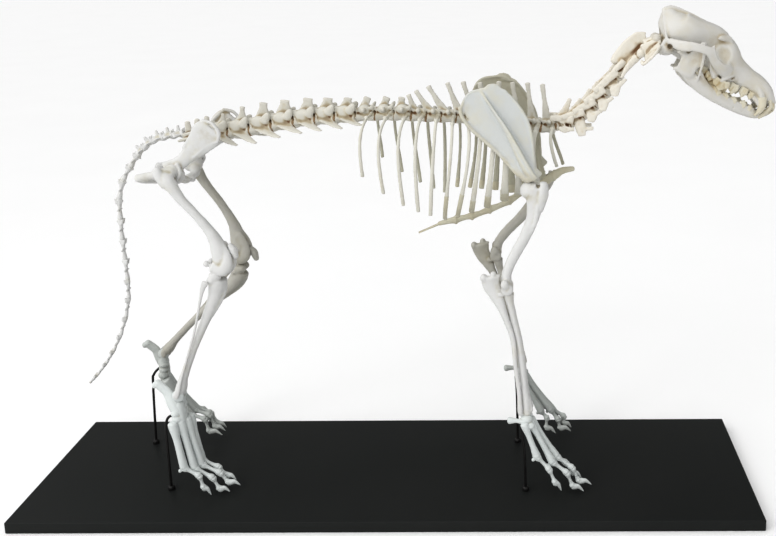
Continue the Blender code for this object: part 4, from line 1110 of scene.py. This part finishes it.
class Bone:
    # Directions along a limb bone: along it, to the animal's front and to its outer side
    def __init__(self, start, end, side):
        self.start = start
        self.span = end - start
        along = self.span.normalized()
        self.front = Vector((0, -1, 0)).cross(along).normalized()
        out = self.front.cross(along)
        self.out = out if out.y * side > 0 else -out

    def at(self, along, front=0.0, out=0.0):
        return self.start + self.span * along + self.front * front + self.out * out


def limbBone(side, joints, start, end):
    return Bone(jointAt(joints[side], start, side), jointAt(joints[side], end, side), side)


def scapulaShape(side):
    # Along runs up the blade here, so its front counts backwards
    bone = limbBone(side, foreJoints, "glenoid", "scapula")
    blade = ((-0.03, 6, 7, 9.5), (0.01, 6, 7.5, 11), (0.08, 4.5, 4.5, 12), (0.2, 5.8, 2.2, 17),
             (0.36, 7.5, 1.2, 23), (0.52, 6, 1, 28.5), (0.7, 1.5, 1, 31.5), (0.84, -2.5, 1.2, 30),
             (0.93, -8, 1.4, 21.5), (0.99, -10, 1.5, 10.5))

    def add(shape):
        loft(shape, [bone.at(s, -front) for s, front, _, _ in blade],
             [(thick, wide) for _, _, thick, wide in blade], sides=48, ends=(0.3, 0.6))
        # Thick rims at the back, the front and the top
        for edge, thick in ((-1, 2.4), (1, 1.6)):
            loft(shape, [bone.at(s, -front - edge * (wide - 1)) for s, front, _, wide in blade[2:9]],
                 [thick * 1.1, thick, thick, thick, thick, thick, thick * 1.1])
        loft(shape,
             [bone.at(s, -front)
              for s, front in ((0.86, 24), (0.95, 14), (0.995, 0), (1.01, -10), (0.98, -20), (0.9, -30))],
             [1.5, 1.8, 2, 2, 1.8, 1.7])
        # Ridge down the outer face: its edge, its height, and how far its foot spreads to the back
        ridge = ((0.99, 2, 1.5, 1), (0.88, 3.5, 4, 1.4), (0.77, 5, 6, 1.8), (0.53, 8.5, 8.5, 3),
                 (0.32, 9, 9.5, 4.2), (0.15, 9.5, 10.5, 5.4), (0.04, 10, 10, 5.4), (-0.03, 11, 7.5, 4))
        loft(shape,
             [bone.at(s, -front + spread * 0.6, height * 0.45) for s, front, height, spread in ridge],
             [(height * 0.5, spread) for _, _, height, spread in ridge], across=bone.out)
        loft(shape, [bone.at(s, -front, height) for s, front, height, _ in ridge],
             [(0.9, 1.4)] * 4 + [(1.1, 2)] * 4, across=bone.out)
        rowLoft(shape, bone.at, ((0.06, -12, 0, 4, 4), (-0.02, -16, 0, 3, 3.4)))
    return add


def humerusShape(side):
    bone = limbBone(side, foreJoints, "shoulder", "elbow")
    line = ((0.03, 2, 0, 9.5, 12), (0.1, 7, 0, 9, 11), (0.28, 10, 0, 6.4, 8), (0.49, 6.5, 0, 5.6, 6.8),
            (0.7, -0.5, 0, 5.6, 6.4), (0.86, -3.5, 0, 8, 6), (0.95, -1, 0, 11, 6.5))

    def add(shape):
        rowLoft(shape, bone.at, line, sides=24)
        ball(shape, bone.at(0.05, -2, -2), 10.5)
        rowLoft(shape, bone.at, ((0.2, 14, 3, 5, 6), (0.06, 14, 4, 6.5, 7.5), (-0.04, 12, 3, 5, 6)))
        rowLoft(shape, bone.at, ((0.12, 12, -4, 4, 6), (0.02, 10, -7, 3.6, 4.5)))
        # Rough ridge for the shoulder muscle
        rowLoft(shape, bone.at, ((0.14, 11, 7, 2.4), (0.26, 14, 6, 3), (0.38, 13, 4, 2.8), (0.52, 9, 1, 2)))
        rowLoft(shape, bone.at, (
            (1, 1, -11, 8), (0.995, 1, -4, 6.6), (1, 1, 2, 7.4), (1, 1, 10, 7.6)
        ), across=bone.front, ends=(0.3, 0.3))
        for out in (-12, 12):
            ball(shape, bone.at(0.95, -3.5, out), (5, 3.4, 6.5))

    def carve(shape):
        ball(shape, bone.at(0.93, -10, 0), (5, 5, 6))
        ball(shape, bone.at(0.93, 8, 0), (4.5, 4.5, 5))
        ball(shape, bone.at(0.12, -3, 12), (8, 5, 6))
        loft(shape, [bone.at(-0.04, 6, -12), bone.at(-0.02, 7, 12)], [(2.4, 3)] * 2, across=bone.front)
    return add, carve


def radiusShape(side):
    bone = limbBone(side, foreJoints, "elbow", "carpus")
    line = ((0.045, 2, -1, 9, 6.5), (0.075, 1.6, -1, 8, 5.8), (0.13, 2, -1, 5.8, 4.6),
            (0.25, 3.5, -1, 5.8, 4.4), (0.42, 6, -1, 6.4, 4.6), (0.6, 6, -1, 6.6, 4.8), (0.78, 5, -1, 7, 5),
            (0.9, 4.5, -1, 9.5, 6.4), (0.985, 3.5, -1, 10, 6.6))

    def add(shape):
        rowLoft(shape, bone.at, line, sides=24, ends=(0.15, 0.25))
        rowLoft(shape, bone.at, ((0.88, 9, -4, 2), (0.95, 10, -4, 2.4)))
        rowLoft(shape, bone.at, ((0.88, 9.5, 3, 2), (0.96, 9.5, 4, 2.2)))
    return add


def ulnaShape(side):
    bone = limbBone(side, foreJoints, "elbow", "carpus")
    line = ((-0.095, -17.5, 1, 4.8, 11.5), (-0.03, -17, 1, 3.2, 10.5), (0.06, -12.5, 1, 3.4, 8),
            (0.14, -9, 2, 4, 5.4), (0.24, -5, 4, 3.2, 4), (0.4, -0.5, 5, 2.8, 3.2), (0.58, -2, 6, 2.4, 2.8),
            (0.78, -2, 7, 2.2, 2.7), (0.93, -3.5, 8.5, 3, 3.4), (0.97, -4, 8.5, 2.6, 2.8))

    def add(shape):
        rowLoft(shape, bone.at, line, sides=20, ends=(0.3, 0.5))
        # Beak that hooks into the humerus, the step below it, and the knobs of the elbow's point
        rowLoft(shape, bone.at, ((-0.045, -12, 1, 3, 5), (-0.09, -8.5, 1, 2.8, 3.4), (-0.1, -6, 1, 2, 1.6)))
        rowLoft(shape, bone.at, ((0.04, -9, 0, 5.5, 4), (0.045, -3, 0, 6, 2.2)))
        ball(shape, bone.at(-0.095, -25, 1), (4.4, 5, 5))
        ball(shape, bone.at(-0.115, -13, 2), (3.8, 3.8, 3.8))
    return add


# Each toe from the innermost: its top, knuckle, two joints and claw tip
foreToes = {
    right: (
        ((171, 53, 112), (199, 50, 61), (219, 50, 46), (227, 50, 33), (238, 50, 25)),
        ((175, 60, 112), (206, 58, 60), (226, 58, 44), (234, 58, 26), (250, 58, 21)),
        ((174, 68, 112), (201, 66, 57), (219, 66, 42), (226, 66, 24), (240, 66, 16.5)),
        ((167, 75, 112), (182, 73, 68), (197, 73, 51), (204, 73, 33), (212, 73, 22)),
    ),
    left: (
        ((163, 53, 114), (190, 60, 60), (198, 60, 50), (197, 60, 36), (210, 60, 27)),
        ((166, 60, 114), (203, 68, 58), (213, 68, 44), (216, 68, 31), (231, 68, 26)),
        ((166, 68, 114), (205, 76, 56), (222, 76, 44), (222, 76, 34), (232, 76, 27)),
        ((162, 75, 114), (196, 83, 57), (211, 83, 46), (214, 83, 35), (223, 83, 28)),
    ),
}
hindToes = {
    right: (
        ((-247, 48, 112), (-236, 49, 52), (-216, 49, 42), (-207, 49, 31), (-195, 49, 24)),
        ((-249, 55, 112), (-235, 56, 50), (-212, 56, 38), (-203, 56, 25), (-188, 56, 21)),
        ((-254, 62, 112), (-241, 64, 50), (-219, 64, 36), (-212, 64, 21), (-199, 64, 17)),
        ((-261, 69, 112), (-251, 71, 54), (-233, 71, 43), (-229, 71, 27), (-220, 71, 17)),
    ),
    left: (
        ((-313, 51, 112), (-287, 60, 58), (-268, 60, 51), (-264, 60, 33), (-246, 60, 27)),
        ((-315, 58, 112), (-285, 68, 61), (-264, 68, 53), (-258, 68, 35), (-244, 68, 29)),
        ((-318, 65, 112), (-286, 76, 61), (-265, 76, 52), (-256, 76, 36), (-245, 76, 30)),
        ((-321, 72, 112), (-292, 82, 62), (-276, 82, 54), (-269, 82, 40), (-259, 82, 33)),
    ),
}
toeSizes = {"foreMetapodial": (5.2, 3.7, 4.8), "hindMetapodial": (6.2, 4.5, 5),
            "firstBone": (4.6, 2.5, 4), "secondBone": (4, 2.2, 3.6), "claw": (3.4, 4.2)}


def shaft(shape, start, end, sizes, gap=0.6):
    near, waist, far = sizes
    trim = (end - start).normalized() * gap
    start, end = start + trim, end - trim
    loft(shape,
         [start, start.lerp(end, 0.12), start.lerp(end, 0.35), start.lerp(end, 0.7), start.lerp(end, 0.9),
          end], [near, near * 0.95, waist, waist * 1.02, far, far], ends=(0.5, 0.6))


def toeMeshes(row, side, limb):
    top, knuckle, first, second, tip = (Vector((x, out * side, z)) for x, out, z in row)

    def metapodial(shape):
        shaft(shape, top, knuckle, toeSizes[limb + "Metapodial"])
        ball(shape, knuckle - (knuckle - top).normalized() * 2, 5.2)

    def firstBone(shape):
        shaft(shape, knuckle, first, toeSizes["firstBone"])
        # Seed bones under the knuckle
        ball(shape, knuckle + Vector((-4.5, 2 * side, -3.2)), (2.2, 1.8, 2.6))

    def secondBone(shape):
        shaft(shape, first, second, toeSizes["secondBone"])

    def claw(shape):
        wide, deep = toeSizes["claw"]
        bend = second.lerp(tip, 0.55) + upright * 3
        loft(shape, [second, second.lerp(bend, 0.45), bend, tip],
             [(wide, deep), (wide * 0.9, deep * 0.9), (1.9, 2.7), (0.5, 0.6)], ends=(0.6, 0.5))
        ball(shape, second + Vector((1.5, 0, -2.6)), (2.4, 2.2, 1.8))
    return [skinned(add, 0.7, 1, lumps=0.25) for add in (metapodial, firstBone, secondBone, claw)]


def forefootMeshes(side):
    centre = jointAt(foreJoints[side], "carpus", side)
    down = (jointAt(foreJoints[side], "paw", side) - centre).normalized()
    front = Vector((0, -1, 0)).cross(down)

    def wrist(shape):
        # Two rows of small bones, and the knob behind them
        for depth, outs, size in ((3.5, (-6, 5), (7.4, 6.6, 6)), (12.5, (-9, -3.5, 2.5, 8), (5.5, 4, 4.6))):
            for out in outs:
                ball(shape, centre + down * depth + sideways * out * side + front, size)
        start = centre + down * 6 + Vector((-4, 8 * side, 0))
        loft(shape, [start, start + Vector((-9, -side, 1)), start + Vector((-17, -2 * side, 1))],
             [(3, 3.4), (2.6, 2.9), (3.8, 4.6)])

    def dewClaw(shape):
        inner = centre + down * 13 + Vector((-6, -12 * side, 0))
        shaft(shape, inner, inner + down * 13, (2.6, 1.8, 2.3))
        loft(shape,
             [inner + down * 13, inner + down * 20 + Vector((2, 0, 0)),
              inner + down * 24 + Vector((4, 0, 0))], [2.2, 1.7, 0.5])
    meshes = [skinned(wrist, 0.8, 2), skinned(dewClaw, 0.7, 1, lumps=0)]
    for row in foreToes[side]:
        meshes += toeMeshes(row, side, "fore")
    return meshes


# The wing of the hip from its socket to its top: place, half the thickness and half the width
hipWing = ((-252, 36, 420, 8, 12), (-237, 34, 430, 4.8, 8.5), (-226, 32.5, 440, 3.6, 10.5),
           (-214, 35, 452, 3.1, 15), (-205, 38.5, 462, 3, 18.5), (-198, 41, 470, 3, 16))


def hipShape(shape):
    for at in bothSides:
        rowLoft(shape, at, hipWing, sides=36, ends=(0.3, 1.2))
        ball(shape, at(-247, 33, 414), (13, 8, 12))
        # Rims of the hip blade
        rowLoft(shape, at, (
            (-190, 41, 455, 1.9), (-187, 42, 466, 2.2), (-194, 42, 477, 2.2), (-206, 40, 481, 2)
        ))
        rowLoft(shape, at, ((-206, 40, 480, 2), (-220, 35, 466, 2), (-233, 33, 447, 2.4)))
        rowLoft(shape, at, ((-190, 41, 455, 2), (-204, 37, 449, 2), (-224, 33, 434, 2.8)))
        # Seat bone, the bar in front of it and the bridge between the sides
        rowLoft(shape, at, ((-250, 37, 419, 6, 6), (-270, 32, 414, 4, 5), (-289, 31, 410, 7, 5)), sides=20)
        rowLoft(shape, at, (
            (-291, 34, 411, 4, 5), (-288, 22, 404, 5, 3), (-276, 6, 400, 6, 2.6)
        ), across=lengthways)
        rowLoft(shape, at, (
            (-246, 34, 413, 8, 6), (-240, 18, 404, 6, 4.4), (-246, 2, 401, 7, 3.6)
        ), across=lengthways)
        rowLoft(shape, at, ((-240, 41, 428, 2.6), (-236, 43, 419, 2.6), (-241, 43, 410, 2.4)))
    loft(shape, [(-284, 0, 400), (-262, 0, 401), (-236, 0, 401)], [(3.4, 2.6), (3.4, 3), (3.4, 3.6)])


def hipHollows(shape):
    for at in bothSides:
        ball(shape, at(-262, 19, 405), (10, 7.5, 9))


def femurShape(side):
    bone = limbBone(side, hindJoints, "hip", "knee")
    line = ((0.03, -7, 13, 7, 8), (0.1, -4, 14, 7, 8), (0.27, -1.5, 12, 5.6, 5.8), (0.5, 5.5, 9, 5.3, 5.3),
            (0.7, 9, 5, 6.6, 6.8), (0.85, 7, 2, 9.5, 10), (0.95, 3, 0, 11, 11))

    def add(shape):
        rowLoft(shape, bone.at, line, sides=24)
        ball(shape, bone.at(0, 0, 0), 8.8)
        rowLoft(shape, bone.at, ((0, 0, 2, 5, 5.4), (0.06, -4, 13, 6, 7.4)), across=bone.span.normalized())
        rowLoft(shape, bone.at, ((0.09, -8, 15, 5, 6.5), (0, -10, 16, 5, 6), (-0.07, -9, 16, 4, 5)))
        ball(shape, bone.at(0.15, -9, 6), (4, 4, 5))
        rowLoft(shape, bone.at, ((0, 0, 3, 8, 7), (-0.02, -8, 9, 7, 6), (-0.04, -13, 14, 5, 5)))
        for out in (-7, 7):
            rowLoft(shape, bone.at, (
                (0.82, 11, out * 0.6, 3.4, 6), (0.93, 11.5, out * 0.8, 4, 7), (1.01, 7.5, out, 5, 8),
                (1.04, 0, out, 5.4, 8), (0.98, -8, out, 5, 7.4)
            ))
            # Small round bones behind the knee
            ball(shape, bone.at(0.92, -13, out), (4.2, 3.8, 4))

    def carve(shape):
        loft(shape, [bone.at(0.84, 21, 0), bone.at(0.98, 19, 0)], [(3.4, 3.4)] * 2)
        loft(shape, [bone.at(1.1, 2, 0), bone.at(1.02, -12, 0)], [(2.6, 5)] * 2)
    return add, carve


kneecaps = {right: (0.92, 21), left: (1.05, 17)}


def kneecapShape(side):
    bone = limbBone(side, hindJoints, "hip", "knee")
    share, lift = kneecaps[side]

    def add(shape):
        rowLoft(shape, bone.at, (
            (share - 0.05, lift - 1, 0, 4, 3.4), (share, lift, 0, 5.5, 4.8),
            (share + 0.06, lift - 1, 0, 4, 3.6)
        ), sides=20, ends=(0.9, 0.9))
    return add


def shinShape(side):
    bone = limbBone(side, hindJoints, "shin", "ankle")
    line = ((0.1, 2, 0, 12, 11), (0.14, 4, 0, 11.4, 11), (0.19, 5, 0, 9, 9.5), (0.26, 5, 0, 7, 7.8),
            (0.4, 3, 0, 5.4, 6), (0.62, 0, 0, 4.8, 4.8), (0.85, -1, 0, 5.6, 5), (0.94, 0, 0, 8.4, 6.8),
            (0.985, 0, 0, 8.4, 6.6))

    def add(shape):
        rowLoft(shape, bone.at, line, sides=24, ends=(0.15, 0.2))
        rowLoft(shape, bone.at, (
            (0.12, 12, 1, 4, 3.6), (0.19, 13.5, 1, 2.4, 3.6), (0.29, 10.5, 1, 1.8, 3.6),
            (0.4, 6, 0, 1.6, 3), (0.48, 3, 0, 1.4, 2)
        ))
        for out in (-8, 8):
            ball(shape, bone.at(0.105, -3, out), (6.4, 5.4, 4.6))
            # Pads between the knee's knobs and the shin
            ball(shape, bone.at(0.07, -1, out * 0.85), (8, 6.4, 6))
        ball(shape, bone.at(0.985, 0, -8), (4, 3, 6))

    def carve(shape):
        rowLoft(shape, bone.at, ((0.13, 4, 20, 8, 7), (0.24, 6, 16, 7, 6.6), (0.38, 5, 11, 3, 3.6)))
    return add, carve


def fibulaShape(side):
    bone = limbBone(side, hindJoints, "shin", "ankle")

    def add(shape):
        rowLoft(shape, bone.at, (
            (0.12, -8, 14, 2.2, 4.2), (0.17, -9, 13, 1.7, 3), (0.26, -8, 11.5, 1.3, 1.9),
            (0.5, -4, 8, 1.2, 1.6), (0.85, -2, 8, 1.3, 1.8), (0.95, -1, 10, 2.2, 3.4), (1, -1, 10.5, 2, 3.4)
        ))
    return add


def hindfootMeshes(side):
    ankle, heel, tarsus = (jointAt(hindJoints[side], name, side) for name in ("ankle", "heel", "tarsus"))
    down = (tarsus - ankle).normalized()
    front = Vector((0, -1, 0)).cross(down)
    shift = sideways * side

    def pulley(shape):
        for out in (-5, 5):
            ball(shape, ankle + shift * out, (7.6, 3.6, 7.6))
        loft(shape, [ankle - shift * 5, ankle + shift * 5], [6, 6], across=front)
        loft(shape, [ankle + down * 2 - shift * 3, ankle + down * 13 - shift * 4], [(6, 6), (5.4, 5.4)])

    def heelBone(shape):
        loft(shape, [ankle + down * 20 - front * 4 + shift * 5, ankle + down * 10 - front * 8 + shift * 4,
                     ankle.lerp(heel, 0.55) + down * 4 + shift * 2, heel],
             [(5, 6.5), (4.6, 7), (3.4, 6), (4.6, 5.4)])
        ball(shape, heel + front * 1.5, (4.4, 4.8, 4.4))
        ball(shape, heel - front * 3 + down * 2.5, (3.6, 4.2, 4))

    def anklebones(shape):
        for depth, spots, size in ((15, ((2, -5),), (6.5, 7, 4.6)),
                                   (22, ((2, -7), (3, 0), (-3, 7)), (5.6, 5, 4.4)),
                                   (29, ((1, -8), (3, -1), (-2, 7)), (6, 5, 5.4))):
            for forward, out in spots:
                ball(shape, ankle + down * depth + front * (forward - 2) + shift * out, size)
        loft(shape, [ankle + down * 12 - front * 2, tarsus], [(8, 7), (9.5, 6.5)])

    def dewClaw(shape):
        inner = tarsus + down * 4 + Vector((4, -12 * side, 0))
        loft(shape, [inner, inner + down * 7 + front * 2, inner + down * 13 + front * 6], [2.2, 1.7, 0.6])
    meshes = [skinned(pulley, 0.8, 2), skinned(heelBone, 0.8, 2), skinned(anklebones, 0.8, 2)]
    if side == right:
        meshes.append(skinned(dewClaw, 0.7, 1, lumps=0))
    for row in hindToes[side]:
        meshes += toeMeshes(row, side, "hind")
    return meshes


for side, word in sideNames.items():
    sideJoints = {**foreJoints[side], **hindJoints[side]}
    spots = {name: [(jointAt(sideJoints, name, side), 15, 0.55)] for name in sideJoints}
    blade = limbBone(side, foreJoints, "glenoid", "scapula")
    rims = [(blade.at(s, -front), 12, 0.3)
            for s, front in ((0.93, -28), (0.82, -34), (0.72, -32), (0.62, -29), (0.51, -23), (0.41, -18),
                             (0.25, -13), (0.09, -8))]
    # Painted shade in the hollow under the ledge at the top of the upper arm
    ledgeShade = (limbBone(side, foreJoints, "shoulder", "elbow").at(0.1, -3, 9), 9, 0.6)
    upperArm, upperArmCuts = humerusShape(side)
    thigh, thighCuts = femurShape(side)
    shin, shinCuts = shinShape(side)
    # Each piece, the solid that it replaces, its looks, its meshes and its stains, with painted shade spots
    # among them
    limbPieces = (
        ("shoulderBlade", "scapula", bladeLooks, [skinned(scapulaShape(side), 0.8, 14, lumps=0.6)],
         spots["glenoid"] + rims),
        ("upperArm", "humerus", limbLooks, [skinned(upperArm, 1.0, 8, upperArmCuts, 1)],
         spots["shoulder"] + spots["elbow"] + [ledgeShade]),
        ("radiusBone", "radius", limbLooks, [skinned(radiusShape(side), 0.9, 6, lumps=0.9)],
         spots["elbow"] + spots["carpus"]),
        ("ulnaBone", "ulna", limbLooks, [skinned(ulnaShape(side), 0.9, 7, lumps=1)], spots["elbow"]),
        ("forefootBones", "forefoot", footLooks, forefootMeshes(side), spots["carpus"]),
        ("thighBone", "femur", limbLooks, [skinned(thigh, 1.0, 8, thighCuts, 1)],
         spots["hip"] + spots["knee"]),
        ("kneecap", "patella", limbLooks, [skinned(kneecapShape(side), 0.8, 2)], ()),
        ("shinBone", "tibia", limbLooks, [skinned(shin, 0.9, 10, shinCuts, 0.8)],
         spots["shin"] + spots["ankle"]),
        ("calfBone", "fibula", limbLooks, [skinned(fibulaShape(side), 0.7, 2, lumps=0.3)], ()),
        ("hindfootBones", "hindfoot", footLooks, hindfootMeshes(side), spots["ankle"]),
    )
    for name, bone, looks, meshes, shadeAndStainSpots in limbPieces:
        finishPiece(name + word.capitalize(), meshes, looks[side], [bone + "_" + word], shadeAndStainSpots)
# The spot on the far wing at (-205, 38, 474) is painted shade on its inner face; the others are stains at
# the sockets and elsewhere
finishPiece("hipBone", [skinned(hipShape, 0.9, 10, hipHollows, 0.9)], "bone limbs", ["pelvis"],
            [(jointAt(hindJoints[side], "hip", side), 17, 0.6) for side in (right, left)]
            + [(Vector((-205, 38, 474)), 26, 0.9), (Vector((-200, -42, 468)), 17, 0.3),
               (Vector((-280, -34, 408)), 14, 0.5), (Vector((-240, -20, 404)), 16, 0.5)])
print("limbs done")


# Board and rods

boardSizes = {"length": 900, "width": 250, "height": 14, "bevel": 1.2}
rodSizes = {
    "radius": 1.6, "collarRadius": 4.2, "collarHeight": 5,
    "lines": {
        "stand_rod_fore_right": ((168, -58, 14.3), (167, -60, 60), (164, -62, 100)),
        "stand_rod_fore_left": ((158, 62, 14.3), (157.5, 62, 80), (156, 62, 110)),
        "stand_rod_hind_right": ((-276, -53, 14.3), (-276, -54, 90), (-273, -55, 110), (-265, -57, 117)),
        "stand_rod_hind_left": ((-339, 63, 14.3), (-336, 63, 100), (-333, 62, 116), (-322, 61, 128)),
    },
}


def boardMesh():
    shape = bmesh.new()
    size = Matrix.Diagonal((boardSizes["length"], boardSizes["width"], boardSizes["height"], 1))
    bmesh.ops.create_cube(shape, size=1, matrix=Matrix.Translation((0, 0, boardSizes["height"] / 2)) @ size)
    bmesh.ops.bevel(shape, geom=list(shape.edges), offset=boardSizes["bevel"], segments=4, profile=0.5,
                    material=-1, affect="EDGES")
    return meshOf(shape)


def rodMesh(line):
    def add(shape):
        radius = rodSizes["radius"]
        loft(shape, line, [radius] * len(line), across=lengthways, sides=20, ends=(0, 0.5), steps=8)
        foot = Vector(line[0])
        collar, height = rodSizes["collarRadius"], rodSizes["collarHeight"]
        loft(shape, [foot, foot + upright * height * 0.7, foot + upright * height],
             [collar, collar, collar * 0.7], across=lengthways, sides=28, ends=(0, 0.1), steps=2)
    return plain(add)


sharpAngle = math.radians(40)
board = finishPiece("blackBoard", [boardMesh()], "lacquer", ["stand_base"])
board.data.set_sharp_from_angle(angle=sharpAngle)
for node, line in rodSizes["lines"].items():
    name = "rod" + "".join(word.capitalize() for word in node.split("_")[2:])
    rod = finishPiece(name, [rodMesh(line)], "rod", [node])
    rod.data.set_sharp_from_angle(angle=sharpAngle)
print("stand done")


# Studio

studio = {
    "floor": 60, "contrast": "High Contrast",
    # Sky: where its bright part lies, and its strength away from it and in it
    "skyCentre": (-0.5, -0.5, 0.71), "skyDim": 0.22, "skyBright": 1.14,
    "lights": (("key", (-1.3, -1.3, 1.5), 0.5, 4),),
}


def addStudio():
    floor = bmesh.new()
    bmesh.ops.create_grid(floor, x_segments=1, y_segments=1, size=studio["floor"] / 2)
    mesh = bpy.data.meshes.new("floor")
    floor.to_mesh(mesh)
    floor.free()
    mesh.materials.append(paperFinish())
    sheet = bpy.data.objects.new("floor", mesh)
    bpy.context.scene.collection.objects.link(sheet)
    # The sky brightens towards one side, as under a wide soft panel
    world = bpy.data.worlds.new("studio")
    world.use_nodes = True
    nodes, links = world.node_tree.nodes, world.node_tree.links
    direction = nodes.new("ShaderNodeTexCoord")
    nearness = nodes.new("ShaderNodeVectorMath")
    nearness.operation = "DOT_PRODUCT"
    nearness.inputs[1].default_value = studio["skyCentre"]
    rise = nodes.new("ShaderNodeMapRange")
    rise.interpolation_type = "SMOOTHSTEP"
    links.new(direction.outputs["Generated"], nearness.inputs[0])
    links.new(nearness.outputs["Value"], rise.inputs["Value"])
    rise.inputs["To Min"].default_value = studio["skyDim"]
    rise.inputs["To Max"].default_value = studio["skyBright"]
    links.new(rise.outputs["Result"], nodes["Background"].inputs["Strength"])
    nodes["Background"].inputs["Color"].default_value = (1, 1, 1, 1)
    bpy.context.scene.world = world
    bpy.context.scene.view_settings.view_transform = "Standard"
    bpy.context.scene.view_settings.look = studio["contrast"]
    for name, place, size, power in studio["lights"]:
        light = bpy.data.lights.new(name, "AREA")
        light.energy = power
        light.size = size
        lamp = bpy.data.objects.new(name, light)
        lamp.location = place
        lamp.rotation_euler = (Vector((0, 0, 0.3)) - Vector(place)).to_track_quat("-Z", "Y").to_euler()
        bpy.context.scene.collection.objects.link(lamp)


addStudio()
print("studio lit")
